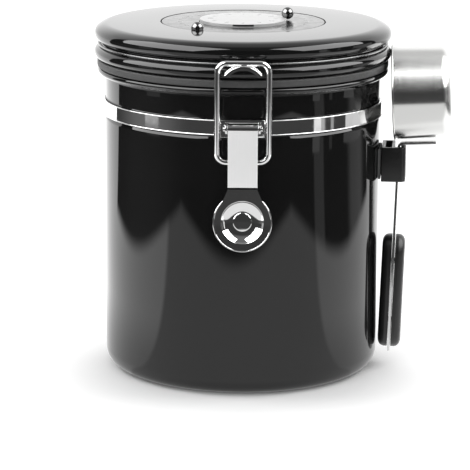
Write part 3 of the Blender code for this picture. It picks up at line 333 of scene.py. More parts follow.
def add(tree, kind, inputs=None, **settings):
    """Add a node, set its properties, then feed its inputs by their names or places."""
    node = tree.nodes.new(kind)
    for key, value in settings.items():
        setattr(node, key, value)
    for key, value in (inputs or {}).items():
        feed(node.inputs[key], value)
    return node


class Term:
    """A node's output that formulas are written with; each sign or method adds one node."""

    def __init__(self, socket):
        self.socket = socket

    def apply(self, operation, *others):
        """What a Math node makes of this value and the others, which are outputs or numbers."""
        inputs = dict(enumerate((self, *others)))
        node = add(self.socket.id_data, "ShaderNodeMath", inputs, operation=operation)
        return Term(node.outputs[0])

    def __add__(self, other):
        return self.apply("ADD", other)

    def __sub__(self, other):
        return self.apply("SUBTRACT", other)

    def __mul__(self, other):
        return self.apply("MULTIPLY", other)

    def __truediv__(self, other):
        return self.apply("DIVIDE", other)

    def __rsub__(self, other):
        return self * -1 + other

    def __abs__(self):
        return self.apply("ABSOLUTE")

    __radd__ = __add__

    def below(self, limit):
        """1 where this value is under the limit, else 0."""
        return self.apply("LESS_THAN", limit)

    def eased(self, start, stop, low=0.0, high=1.0):
        """Smoothly from low to high while this value goes from start to stop."""
        node = add(self.socket.id_data, "ShaderNodeMapRange", {
            "Value": self, "From Min": start, "From Max": stop, "To Min": low, "To Max": high,
        }, interpolation_type="SMOOTHSTEP")
        return Term(node.outputs[0])


def vector_math(tree, operation, *values):
    """The output of a Vector Math node, a number for a length or a dot product."""
    node = add(tree, "ShaderNodeVectorMath", dict(enumerate(values)), operation=operation)
    return node.outputs["Value" if operation in ("LENGTH", "DOT_PRODUCT") else "Vector"]


def coordinates(tree, kind):
    """X, Y and Z of the texture coordinates of one kind."""
    place = add(tree, "ShaderNodeTexCoord").outputs[kind]
    return [Term(socket) for socket in add(tree, "ShaderNodeSeparateXYZ", {0: place}).outputs]


def geometry_tree(name, inputs):
    """A Geometry Nodes tree with named inputs; returns the tree and the outputs of its input."""
    tree = bpy.data.node_groups.new(name, "GeometryNodeTree")
    sockets = [("Geometry", "Geometry"), *inputs, ("Material", "Material")]
    for label, kind in sockets:
        tree.interface.new_socket(label, in_out="INPUT", socket_type="NodeSocket" + kind)
    tree.interface.new_socket("Geometry", in_out="OUTPUT", socket_type="NodeSocketGeometry")
    return tree, add(tree, "NodeGroupInput").outputs


def end_tree(tree, given, geometry):
    """Realise what the tree made, give it its material and send it out."""
    real = add(tree, "GeometryNodeRealizeInstances", {0: geometry})
    paint = add(tree, "GeometryNodeSetMaterial", {
        "Geometry": real.outputs[0], "Material": given["Material"]})
    add(tree, "NodeGroupOutput", {0: paint.outputs[0]})
    return tree


def turned_tree():
    """Turn a chain of points, drawn in the XZ plane, about Z."""
    tree, given = geometry_tree("Turned shell", [("Steps", "Int")])
    steps = Term(given["Steps"])
    size = add(tree, "GeometryNodeAttributeDomainSize", {0: given[0]}, component="MESH")
    points = size.outputs["Point Count"]
    grid = add(tree, "GeometryNodeMeshGrid", {"Vertices X": steps + 1, "Vertices Y": points})
    index = Term(add(tree, "GeometryNodeInputIndex").outputs[0])
    column = ((index + 0.5) / points).apply("FLOOR")
    sample = add(tree, "GeometryNodeSampleIndex", {
        "Geometry": given[0], "Value": add(tree, "GeometryNodeInputPosition").outputs[0],
        "Index": index.apply("MODULO", points),
    }, data_type="FLOAT_VECTOR", domain="POINT")
    turn = add(tree, "ShaderNodeVectorRotate", {
        "Vector": sample.outputs[0], "Angle": column / steps * math.tau,
    }, rotation_type="Z_AXIS")
    move = add(tree, "GeometryNodeSetPosition", {
        "Geometry": grid.outputs["Mesh"], "Position": turn.outputs[0]})
    weld = add(tree, "GeometryNodeMergeByDistance", {
        "Geometry": move.outputs[0], "Distance": SEAM})
    even = add(tree, "GeometryNodeSetShadeSmooth", {"Geometry": weld.outputs[0]})
    return end_tree(tree, given, even.outputs[0])


def wire_tree():
    """A round wire along a chain of edges."""
    tree, given = geometry_tree("Wire", [("Radius", "Float"), ("Sides", "Int")])
    path = add(tree, "GeometryNodeMeshToCurve", {0: given[0]})
    ring = add(tree, "GeometryNodeCurvePrimitiveCircle", {
        "Radius": given["Radius"], "Resolution": given["Sides"]})
    sweep = add(tree, "GeometryNodeCurveToMesh", {
        "Curve": path.outputs[0], "Profile Curve": ring.outputs[0], "Fill Caps": True})
    even = add(tree, "GeometryNodeSetShadeSmooth", {"Geometry": sweep.outputs[0]})
    return end_tree(tree, given, even.outputs[0])


def numbers_tree():
    """The numbers from 1 up, raised round a circle, their feet towards the middle."""
    tree, given = geometry_tree("Numbers round a dial", [
        ("Count", "Int"), ("Circle", "Float"), ("Text size", "Float"), ("Height", "Float"),
        ("Emboss", "Float"),
    ])
    start = add(tree, "GeometryNodeRepeatInput")
    stop = add(tree, "GeometryNodeRepeatOutput")
    start.pair_with_output(stop)
    feed(start.inputs["Iterations"], given["Count"])
    round_number = Term(start.outputs["Iteration"])
    write = add(tree, "FunctionNodeValueToString", {"Value": round_number + 1}, data_type="INT")
    text = add(tree, "GeometryNodeStringToCurves", {
        "String": write.outputs[0], "Size": given["Text size"],
    }, align_x="CENTER", align_y="MIDDLE")
    real = add(tree, "GeometryNodeRealizeInstances", {0: text.outputs["Curve Instances"]})
    fill = add(tree, "GeometryNodeFillCurve", {"Curve": real.outputs[0]}, mode="TRIANGLES")
    raised = add(tree, "GeometryNodeExtrudeMesh", {
        "Mesh": fill.outputs[0], "Offset Scale": given["Emboss"], "Individual": False,
    }, mode="FACES")
    lift = add(tree, "ShaderNodeCombineXYZ", {"Y": given["Circle"], "Z": given["Height"]})
    stand = add(tree, "GeometryNodeTransform", {
        "Geometry": raised.outputs["Mesh"], "Translation": lift.outputs[0]})
    spin = add(tree, "ShaderNodeCombineXYZ", {"Z": round_number / given["Count"] * -math.tau})
    turn = add(tree, "GeometryNodeTransform", {
        "Geometry": stand.outputs[0], "Rotation": spin.outputs[0]})
    gather = add(tree, "GeometryNodeJoinGeometry", {0: turn.outputs[0]})
    feed(gather.inputs[0], start.outputs["Geometry"])
    feed(stop.inputs["Geometry"], gather.outputs[0])
    return end_tree(tree, given, stop.outputs["Geometry"])


# Shapes

def arc(centre_a, centre_b, radius, start, end, steps):
    """Points on an arc in a plane, both ends included; angles in degrees."""
    turns = [math.radians(start + (end - start) * i / steps) for i in range(steps + 1)]
    return [(centre_a + radius * math.cos(t), centre_b + radius * math.sin(t)) for t in turns]


def new_object(name, data):
    """An object in the scene that holds some data."""
    thing = bpy.data.objects.new(name, data)
    bpy.context.scene.collection.objects.link(thing)
    return thing


def mesh_object(name, points, edges, faces):
    mesh = bpy.data.meshes.new(name)
    mesh.from_pydata(points, edges, faces)
    return new_object(name, mesh)


def rectangle(name, half_x, half_y):
    """A flat rectangle round the origin, facing up."""
    corners = [(-half_x, -half_y, 0), (half_x, -half_y, 0), (half_x, half_y, 0), (-half_x, half_y, 0)]
    return mesh_object(name, corners, [], [(0, 1, 2, 3)])


def chain(name, points, closed=False):
    """An object of edges through 3-D points."""
    edges = [(i, i + 1) for i in range(len(points) - 1)]
    if closed:
        edges.append((len(points) - 1, 0))
    return mesh_object(name, points, edges, [])


def grow(thing, tree, material, **inputs):
    """Give an object a Geometry Nodes modifier with its inputs set by name."""
    step = thing.modifiers.new(tree.name, "NODES")
    step.node_group = tree
    values = {"Material": material, **inputs}
    for socket in tree.interface.items_tree:
        if socket.in_out == "INPUT" and socket.name in values:
            step[socket.identifier] = values[socket.name]


def soften(thing, width, limit):
    """Round the edges that are sharper than a limit, in degrees."""
    step = thing.modifiers.new("edges", "BEVEL")
    step.width = width
    step.segments = EDGE_SEGMENTS
    step.limit_method = "ANGLE"
    step.angle_limit = math.radians(limit)


def plain(thing, material):
    """Bake an object's modifiers into one plain mesh, with its normals outside."""
    bpy.context.view_layer.update()
    evaluated = thing.evaluated_get(bpy.context.evaluated_depsgraph_get())
    mesh = bpy.data.meshes.new_from_object(evaluated)
    thing.modifiers.clear()
    shape = bmesh.new()
    shape.from_mesh(mesh)
    bmesh.ops.remove_doubles(shape, verts=shape.verts, dist=SEAM)
    bmesh.ops.recalc_face_normals(shape, faces=shape.faces)
    shape.to_mesh(mesh)
    shape.free()
    thing.data = mesh
    mesh.name = thing.name
    mesh.materials.clear()
    mesh.materials.append(material)
    mesh.shade_smooth()
    mesh.set_sharp_from_angle(angle=SHARP)
    return thing


def turned(name, profile, steps, material, sheet=None):
    """Turn (radius, height) points about Z; an open profile is thickened inwards to a sheet."""
    thing = chain(name, [(r, 0, z) for r, z in profile])
    grow(thing, TREES["turned"], material, Steps=steps)
    if sheet:
        step = thing.modifiers.new("sheet", "SOLIDIFY")
        step.thickness = sheet
        step.offset = 1
        step.use_even_offset = True
    return plain(thing, material)


def wire(name, points, radius, material, sides=24):
    """A closed ring of round wire through 3-D points."""
    thing = chain(name, points, closed=True)
    grow(thing, TREES["wire"], material, Radius=radius, Sides=sides)
    return plain(thing, material)


def lofted(name, rings):
    """A closed body through rings of points, each ring with as many points as the next."""
    across = len(rings[0])
    faces = [(i * across + j, i * across + (j + 1) % across, (i + 1) * across + (j + 1) % across,
              (i + 1) * across + j) for i in range(len(rings) - 1) for j in range(across)]
    last = (len(rings) - 1) * across
    faces += [tuple(reversed(range(across))), tuple(range(last, last + across))]
    return mesh_object(name, [point for ring in rings for point in ring], [], faces)


def moved(thing, matrix):
    """Move an object's mesh, so that the object itself stays at the origin."""
    thing.data.transform(matrix)
    thing.data.update()
    return thing


def plate(name, outline, half, edge, material, place):
    """A flat outline in XY, thickened both ways along Z, its edges softened, then placed."""
    thing = lofted(name, [[(x, y, z) for x, y in outline] for z in (-half, half)])
    if edge:
        soften(thing, edge, PLATE_LIMIT)
    return moved(plain(thing, material), place)


def stand_in(thing, body, *nodes):
    """Ride a body, and take the place of CAD nodes."""
    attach(thing, body)
    if nodes:
        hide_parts(*nodes)
    return thing


def from_cad(node, edge, material):
    """Stand in for a CAD node with a copy of its shape, its edges softened."""
    source = frame["nodes"][node]
    thing = new_object("fine_" + node, source.data.copy())
    shape = bmesh.new()
    shape.from_mesh(thing.data)
    bmesh.ops.remove_doubles(shape, verts=shape.verts, dist=SEAM)
    bmesh.ops.dissolve_limit(shape, angle_limit=FLAT, verts=shape.verts, edges=shape.edges)
    shape.to_mesh(thing.data)
    shape.free()
    if edge:
        soften(thing, edge, COPY_LIMIT)
    return stand_in(plain(thing, material), source["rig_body"], node)


# Finishes

def grey(value):
    return (value, value, value, 1)


def finish(name, metallic):
    """A Principled material; returns it with its tree and its shader's inputs."""
    material = bpy.data.materials.new(name)
    material.use_nodes = True
    inputs = material.node_tree.nodes["Principled BSDF"].inputs
    inputs["Metallic"].default_value = metallic
    return material, material.node_tree, inputs


def noise(tree, vector, scale, detail, roughness=0.5):
    return Term(add(tree, "ShaderNodeTexNoise", {
        "Vector": vector, "Scale": scale, "Detail": detail, "Roughness": roughness}).outputs[0])


def between(grain, low, high):
    """From low to high over the middle of a noise's range."""
    return add(grain.socket.id_data, "ShaderNodeMapRange", {
        "Value": grain, "From Min": NOISE_LOW, "From Max": NOISE_HIGH, "To Min": low, "To Max": high,
    }).outputs[0]


def mixed_colour(factor, first, second):
    return add(factor.socket.id_data, "ShaderNodeMix", {
        "Factor": factor, "A": first, "B": second}, data_type="RGBA").outputs["Result"]


def dented(grain, depth, strength):
    """A normal for a surface that a noise dents."""
    return add(grain.socket.id_data, "ShaderNodeBump", {
        "Height": grain, "Distance": depth, "Strength": strength}).outputs[0]


def surface(name, tone, rough, dents=None, metallic=0.0, stretch=(1, 1, 1)):
    """A finish whose tone, roughness and dents vary a little, each with a noise of its own.

    tone and rough are (low, high, noise scale, noise detail) and dents are (depth, strength,
    noise scale, noise detail). stretch scales the noises along X, Y and Z.
    """
    material, tree, inputs = finish(name, metallic)
    place = add(tree, "ShaderNodeTexCoord").outputs["Object"]
    space = add(tree, "ShaderNodeMapping", {"Vector": place, "Scale": stretch}).outputs[0]
    dark, light, *grain = tone
    feed(inputs["Base Color"], mixed_colour(noise(tree, space, *grain), grey(dark), grey(light)))
    low, high, *grain = rough
    feed(inputs["Roughness"], between(noise(tree, space, *grain), low, high))
    if dents:
        depth, strength, *grain = dents
        feed(inputs["Normal"], dented(noise(tree, space, *grain), depth, strength))
    return material


SURFACES = {
    # baked enamel, mirror smooth, with a trace of orange peel
    "gloss": ("black_gloss", (0.005, 0.008, 40, 2), (0.02, 0.05, 90, 3), (0.00002, 0.05, 260, 2)),
    "chrome": ("chrome", (0.80, 0.90, 120, 2), (0.04, 0.09, 300, 3), None, 1.0),
    "smoked": ("smoked_chrome", (0.16, 0.22, 120, 2), (0.04, 0.09, 300, 3), None, 1.0),
    "steel": ("plain_steel", (0.60, 0.72, 200, 2), (0.20, 0.26, 500, 4), (0.00001, 0.02, 900, 2), 1.0),
    "ring": ("ring_steel", (0.16, 0.22, 200, 2), (0.20, 0.26, 500, 4), (0.00001, 0.02, 900, 2), 1.0),
    # bead-blasted sheet, pale and almost even, with a faint lengthwise grain
    "strap": ("satin_strap", (0.88, 0.93, 60, 3), (0.36, 0.48, 60, 3), (0.00001, 0.1, 60, 3), 0.18,
              (60, 60, 1)),
    "plastic": ("black_plastic", (0.006, 0.010, 150, 2), (0.30, 0.42, 700, 3),
                (0.00003, 0.18, 2400, 2)),
    "silicone": ("silicone", (0.038, 0.066, 500, 4), (0.5, 0.7, 900, 3), (0.00004, 0.25, 1500, 2)),
    "dial": ("dial_grey", (0.016, 0.024, 90, 2), (0.15, 0.22, 300, 3)),
    "print": ("dial_print", (0.34, 0.46, 800, 2), (0.15, 0.15, 800, 2)),
    "adhesive": ("adhesive", (0.08, 0.13, 600, 2), (0.80, 0.80, 600, 2)),
}
SLOT_FINISHES = {
    "black_gloss": "gloss", "chrome": "chrome", "brushed_steel": "brushed", "plain_steel": "steel",
    "black_plastic": "plastic", "silicone": "silicone", "dial_grey": "dial", "adhesive": "adhesive",
}


def brushed_steel(pose):
    """Steel brushed round the cup's own axis: its highlights spread across the brush marks."""
    material, tree, inputs = finish("brushed_steel", 1.0)
    place = add(tree, "ShaderNodeTexCoord").outputs["Object"]
    inside = add(tree, "ShaderNodeMapping", {
        "Vector": place, "Location": pose.to_translation(), "Rotation": pose.to_euler(),
    }, vector_type="TEXTURE").outputs[0]
    across = vector_math(tree, "MULTIPLY", inside, (1, 1, 0))
    ring = add(tree, "ShaderNodeCombineXYZ", {
        "X": vector_math(tree, "DOT_PRODUCT", inside, (0, 0, 1)),
        "Y": vector_math(tree, "LENGTH", across),
    }).outputs[0]
    marks = vector_math(tree, "MULTIPLY", ring, (BRUSH_STRETCH, BRUSH_STRETCH, 0))
    grain = noise(tree, vector_math(tree, "ADD", marks, across), 60, 5, roughness=0.6)
    feed(inputs["Base Color"], mixed_colour(grain, (0.71, 0.71, 0.70, 1), (0.77, 0.77, 0.76, 1)))
    feed(inputs["Roughness"], between(grain, 0.21, 0.27))
    feed(inputs["Normal"], dented(grain, 0.00001, 0.06))
    inputs["Anisotropic"].default_value = 0.9
    axis = pose.to_3x3() @ Vector((0, 0, 1))
    from_axis = vector_math(tree, "SUBTRACT", place, pose.to_translation())
    round_it = vector_math(tree, "CROSS_PRODUCT", axis, from_axis)
    outside = add(tree, "ShaderNodeNewGeometry").outputs["Normal"]
    feed(inputs["Tangent"], vector_math(tree, "CROSS_PRODUCT", outside, round_it))
    return material


def dial_silver(dial):
    """The month disc: pale satin metal, faintly mottled, with a band of painted shade on its front
    edge.
    """
    material = surface("dial_silver", (0.52, 0.60, 900, 3), (0.35, 0.42, 900, 3), metallic=0.15)
    colour = material.node_tree.nodes["Principled BSDF"].inputs["Base Color"]
    x, y, z = coordinates(material.node_tree, "Object")
    # Painted shade: a dark band just under the disc's rounded top, on its front side only
    middle = dial.top_z + dial.month_rise - dial.rounding - dial.shade_height / 2
    low = abs(z - middle).below(dial.shade_height / 2)
    painted_shade = y.below(0) * abs(x).below(dial.shade_half_width) * low
    feed(colour, mixed_colour(painted_shade, colour.links[0].from_socket, grey(0.012)))
    return material


def make_trees_and_finishes(scene):
    """Build the node trees and materials, and paint the solids that stay in view."""
    TREES.update(turned=turned_tree(), wire=wire_tree(), numbers=numbers_tree())
    FINISHES.update({key: surface(*values) for key, values in SURFACES.items()})
    FINISHES.update(brushed=brushed_steel(cup_pose(scene.canister_scoop)),
                    silver=dial_silver(scene.canister_dial))
    for node, slot in NODE_SLOTS.items():
        for place in frame["nodes"][node].material_slots:
            place.material = FINISHES[SLOT_FINISHES[slot]]


# Pieces

class CANISTER_OT_can(bpy.types.Operator):
    """Turn the can, from its rolled lip to the ring that it stands on"""
    bl_idname = "canister.can"
    bl_label = "Can"

    def execute(self, context):
        can = context.scene.canister_can
        n = can.arc_steps
        inner = can.radius - can.wall
        roll_r = can.lip_radius - can.lip_roll
        roll_z = can.lip_top - can.lip_roll
        bend_r = can.radius - can.base_rounding
        waist_low = can.waist_z - can.waist_slope - can.waist_round * math.sin(can.waist_turn)
        neck = (can.radius - can.waist_round * (1 - math.cos(can.waist_turn))
                - can.waist_slope * math.tan(can.waist_turn))
        profile = [
            (inner, can.lip_top - can.lip_roll / 2), (inner + can.lip_roll / 2, can.lip_top),
            *arc(roll_r, roll_z, can.lip_roll, 90, -math.degrees(can.lip_turn), n),
            (can.radius, can.neck_top), (can.radius, can.waist_z + can.waist_rise), (neck, can.waist_z),
            *arc(can.radius - can.waist_round, waist_low, can.waist_round,
                 math.degrees(can.waist_turn), 0, n),
            (can.radius, (waist_low + can.base_rounding) / 2),
            *arc(bend_r, can.base_rounding, can.base_rounding, 0, -90, 2 * n),
            (can.foot_radius, 0), (can.foot_radius - can.foot_rise, can.foot_rise),
            (0, can.foot_rise), (0, can.floor),
            *arc(bend_r, can.base_rounding + can.floor - can.wall,
                 can.base_rounding - can.wall, -90, 0, n),
            (inner, can.lip_top - can.lip_roll / 2),
        ]
        stand_in(turned("can_shell", profile, can.steps, FINISHES["gloss"]), "can", "body_can")
        return {"FINISHED"}


class CANISTER_OT_band(bpy.types.Operator):
    """Turn the chrome band with its rolled edges"""
    bl_idname = "canister.band"
    bl_label = "Band"

    def execute(self, context):
        band = context.scene.canister_band
        n = context.scene.canister_can.arc_steps
        inner = band.radius - band.sheet
        top = band.bottom + band.height
        profile = [
            (inner, top),
            *arc(band.radius, top - band.bead, band.bead, 90, -90, n),
            *arc(band.radius, band.bottom + band.bead, band.bead, 90, -90, n),
            (inner, band.bottom), (inner, top),
        ]
        steps = context.scene.canister_can.steps
        stand_in(turned("neck_band", profile, steps, FINISHES["chrome"]), "can", "body_band")
        return {"FINISHED"}


class CANISTER_OT_lid(bpy.types.Operator):
    """Turn the lid's shell with its two beads, and lay the wire in its groove"""
    bl_idname = "canister.lid"
    bl_label = "Lid"

    def execute(self, context):
        lid = context.scene.canister_lid
        can = context.scene.canister_can
        n = can.arc_steps
        floor_z = lid.top_z - lid.well_depth
        flat_r = lid.well_radius + lid.well_rounding
        turn = lid.shoulder_end
        step = lid.shoulder - lid.bead_radius
        shoulder_r = lid.bead_reach - lid.bead_radius - step * math.cos(turn)
        shoulder_z = lid.top_z - lid.crown - lid.shoulder
        bead_r = shoulder_r + step * math.cos(turn)
        bead_z = shoulder_z + step * math.sin(turn)
        span = shoulder_r - flat_r
        slope = math.degrees(math.atan(2 * lid.crown / span))
        top_end = math.degrees(math.acos((lid.groove_r - bead_r) / lid.bead_radius))
        skirt_start = math.degrees(math.acos((lid.groove_r - lid.skirt_r) / lid.skirt_radius))
        profile = [
            (lid.vent_radius, floor_z), (lid.well_radius, floor_z),
            (lid.well_radius, lid.top_z - lid.well_rounding),
            *[(flat_r + span * i / n, lid.top_z - lid.crown * (i / n) ** 2) for i in range(n)],
            *arc(shoulder_r, shoulder_z, lid.shoulder, 90 - slope, math.degrees(turn), n),
            *arc(bead_r, bead_z, lid.bead_radius, math.degrees(turn), -top_end, 2 * n)[1:],
            *arc(lid.skirt_r, lid.skirt_z, lid.skirt_radius, skirt_start, -90, 2 * n),
        ]
        shell = turned("lid_shell", profile, can.steps, FINISHES["gloss"], sheet=lid.sheet)
        stand_in(shell, "lid", "lid_cover")
        ring = [(x, y, lid.wire_z) for x, y in arc(0, 0, lid.wire_r, 0, 360, can.steps)[:-1]]
        stand_in(wire("lid_ring", ring, lid.wire_radius, FINISHES["ring"], sides=16),
                 "lid", "lid_wire")
        return {"FINISHED"}


class CANISTER_OT_seal(bpy.types.Operator):
    """Turn the silicone seal and the liner that holds it"""
    bl_idname = "canister.seal"
    bl_label = "Seal and liner"

    def execute(self, context):
        seal = context.scene.canister_seal
        can = context.scene.canister_can
        n = can.arc_steps
        gap = seal.rounding / 2
        bottom = seal.top - seal.height
        low = bottom - seal.lip_drop
        lip_outer = can.radius - can.wall - gap
        lip_inner = lip_outer - seal.lip_width
        edge = seal.rounding
        profile = [
            (seal.inner, seal.top),
            *arc(seal.radius - edge, seal.top - edge, edge, 90, 0, n),
            *arc(seal.radius - edge, bottom + edge, edge, 0, -90, n),
            (lip_outer, bottom), (lip_outer - edge / 2, low), (lip_inner, low),
            (lip_inner, bottom), (seal.inner, bottom), (seal.inner, seal.top),
        ]
        stand_in(turned("seal_ring", profile, can.steps, FINISHES["silicone"]), "lid", "lid_gasket")
        rim_z = seal.top + seal.liner_gap + seal.liner_sheet
        pan_z = rim_z - seal.liner_drop
        pan = [
            (seal.liner_bore, pan_z), (seal.liner_step - seal.liner_drop, pan_z),
            (seal.liner_step - seal.liner_drop / 3, pan_z + seal.liner_drop / 4),
            (seal.liner_step, rim_z), (seal.liner_rim, rim_z),
        ]
        stand_in(turned("liner_pan", pan, can.steps, FINISHES["steel"], sheet=seal.liner_sheet),
                 "lid", "lid_liner")
        return {"FINISHED"}


def ball_profile(radius, height, steps):
    """Half a circle of (radius, height) points, from the top of a ball to its foot."""
    return [(abs(r), z) for r, z in arc(0, height, radius, 90, -90, steps)]


class CANISTER_OT_dial(bpy.types.Operator):
    """Turn the day dial and month disc, with their ball knobs and raised numbers"""
    bl_idname = "canister.dial"
    bl_label = "Date dial"

    def execute(self, context):
        dial = context.scene.canister_dial
        n = context.scene.canister_can.arc_steps
        edge = dial.rounding
        inner = dial.month_radius + dial.gap
        day = [
            (inner, dial.bottom_z), *arc(inner + edge, dial.top_z - edge, edge, 180, 90, n),
            *arc(dial.radius - edge, dial.top_z - edge, edge, 90, 0, n),
            (dial.radius, dial.bottom_z), (inner, dial.bottom_z),
        ]
        face = turned("day_ring_face", day, dial.steps, FINISHES["dial"])
        stand_in(face, "day_ring", "day_dial")
        month_z = dial.top_z + dial.month_rise
        month = [
            (0, month_z), *arc(dial.month_radius - edge, month_z - edge, edge, 90, 0, n),
            (dial.month_radius, dial.bottom_z), (0, dial.bottom_z),
        ]
        face = turned("month_face", month, dial.steps, FINISHES["silver"])
        stand_in(face, "month_ring", "month_disc")
        knobs = (
            ("day_ball", "day_ring", "day_knob", dial.day_knob_r, dial.day_knob_turn,
             dial.top_z + dial.day_knob_rise),
            ("month_ball", "month_ring", "month_knob", dial.month_knob_r, dial.month_knob_turn,
             month_z + dial.month_knob_rise),
        )
        for name, body, node, reach, turn, height in knobs:
            knob = turned(name, ball_profile(dial.knob, height, 4 * n), 4 * n, FINISHES["smoked"])
            place = Matrix.Translation((reach * math.cos(turn), reach * math.sin(turn), 0))
            stand_in(moved(knob, place), body, node)
        rings = (("day_numbers", "day_ring", DAYS, dial.day_circle, dial.day_text, dial.top_z),
                 ("month_numbers", "month_ring", MONTHS, dial.month_circle, dial.month_text, month_z))
        for name, body, numbers, circle, size, height in rings:
            thing = chain(name, [])
            grow(thing, TREES["numbers"], FINISHES["print"], Count=numbers, Circle=circle,
                 **{"Text size": size, "Height": height - dial.emboss / 2, "Emboss": dial.emboss})
            stand_in(plain(thing, FINISHES["print"]), body)
        return {"FINISHED"}


def paddle_face(latch, n):
    """The paddle's front from its middle out: flat button, bowl, flat brim, rolled rim."""
    low, high = math.degrees(latch.bowl_low), math.degrees(latch.bowl_high)
    bowl = (latch.bowl - latch.bowl_foot) / (math.sin(latch.bowl_high) - math.sin(latch.bowl_low))
    depth = bowl * (math.cos(latch.bowl_low) - math.cos(latch.bowl_high))
    edge = latch.bowl_edge
    edge_r = latch.bowl + edge * math.sin(latch.bowl_high)
    foot_z = -latch.brim_drop - edge * (1 - math.cos(latch.bowl_high)) - depth
    button_z = foot_z + latch.button_height
    round_r = latch.button - latch.button_edge
    rim_r = latch.paddle - latch.rim
    bowl_r = latch.bowl_foot - bowl * math.sin(latch.bowl_low)
    return [
        *[(round_r * i / n, button_z - latch.button_crown * (i / n) ** 2) for i in range(n)],
        *arc(round_r, button_z - latch.button_crown - latch.button_edge, latch.button_edge,
             BUTTON_START, 0, n),
        (latch.button, foot_z),
        *arc(bowl_r, foot_z + bowl * math.cos(latch.bowl_low), bowl, low - 90, high - 90, 2 * n),
        *arc(edge_r, -latch.brim_drop - edge, edge, 90 + high, 90, n)[1:],
        *arc(rim_r + latch.rim / 2, 0, latch.rim / 2, RIM_START, 0, n),
    ]


class CANISTER_OT_lever(bpy.types.Operator):
    """Make the latch lever: curled strap, flared neck, dished paddle and lugs"""
    bl_idname = "canister.lever"
    bl_label = "Latch lever"

    def execute(self, context):
        latch = context.scene.canister_latch
        n = context.scene.canister_can.arc_steps
        front = latch.pin_y - latch.curl
        back = front + latch.sheet
        sweep = math.degrees(latch.curl_sweep)
        strap_view = [(front, latch.end_z), (front, latch.strap_z), (back, latch.strap_z),
                      (back, latch.end_z)]
        curl_view = [
            (front, latch.strap_z),
            *arc(latch.pin_y, latch.pin_z, latch.curl, 180, 180 - sweep, 4 * n),
            *arc(latch.pin_y, latch.pin_z, latch.curl - latch.sheet, 180 - sweep, 180, 4 * n),
            (back, latch.strap_z),
        ]
        strap = plate("lever_strap", strap_view, latch.half_width, latch.edge, FINISHES["strap"],
                      ACROSS)
        stand_in(strap, "lever", "latch_lever")
        curl = plate("lever_curl", curl_view, latch.half_width, 0, FINISHES["chrome"], ACROSS)
        stand_in(curl, "lever")

        profile = paddle_face(latch, n)
        profile += [(r, z - latch.sheet) for r, z in reversed(profile)]
        tilt = Matrix.Rotation(math.pi / 2 - latch.paddle_tilt, 4, "X")
        pose = Matrix.Translation((0, front - latch.paddle_set_back, latch.paddle_z)) @ tilt
        paddle = turned("lever_paddle", profile, latch.steps, FINISHES["chrome"])
        stand_in(moved(paddle, pose), "lever")

        half = latch.sheet / 2
        drop = latch.end_z - latch.paddle_z
        touch = math.degrees(math.acos((latch.half_width + latch.flare) / latch.paddle))
        reach = latch.paddle - latch.rim
        hollow = reach - latch.rim
        neck_outline = [
            (-latch.half_width, drop + latch.sheet), (-latch.half_width, drop),
            *arc(0, 0, reach, 180 - touch, 180 - touch - NECK_TUCK, 1),
            *arc(0, 0, hollow, 180 - touch - 2 * NECK_TUCK, touch + 2 * NECK_TUCK, 2 * n),
            *arc(0, 0, reach, touch + NECK_TUCK, touch, 1),
            (latch.half_width, drop), (latch.half_width, drop + latch.sheet),
        ]
        place = Matrix.Translation((0, front + half, latch.paddle_z)) @ Matrix.Rotation(
            math.pi / 2, 4, "X")
        neck = plate("lever_neck", neck_outline, half, 0, FINISHES["chrome"], place)
        stand_in(neck, "lever")

        lug_outline = [
            (back - half, latch.foot[2] + latch.lug), (back - half, latch.foot[2] - latch.lug),
            *arc(latch.foot[1], latch.foot[2], latch.lug, -90, 90, n),
        ]
        for name, side in (("lever_lug_left", -1), ("lever_lug_right", 1)):
            middle = side * (latch.half_width - latch.lug_sheet / 2)
            lug = plate(name, lug_outline, latch.lug_sheet / 2, latch.edge, FINISHES["chrome"],
                        Matrix.Translation((middle, 0, 0)) @ ACROSS)
            stand_in(lug, "lever")
        return {"FINISHED"}


class CANISTER_OT_loop(bpy.types.Operator):
    """Bend the latch's wire loop"""
    bl_idname = "canister.loop"
    bl_label = "Wire loop"

    def execute(self, context):
        latch = context.scene.canister_latch
        n = context.scene.canister_can.arc_steps
        foot, head = Vector(latch.foot), Vector(latch.head)
        span = (head - foot).length
        up = (head - foot).normalized()
        corner = latch.loop_corner
        inset = latch.loop_half_width - corner
        turns = ((inset, span - corner, 0), (-inset, span - corner, 90), (-inset, corner, 180),
                 (inset, corner, 270))
        flat = [point for x, z, start in turns for point in arc(x, z, corner, start, start + 90, n)]
        points = [Vector((x, 0, 0)) + foot + up * along for x, along in flat]
        stand_in(wire("wire_loop", points, latch.wire, FINISHES["chrome"]),
                 "loop", "latch_loop")
        return {"FINISHED"}


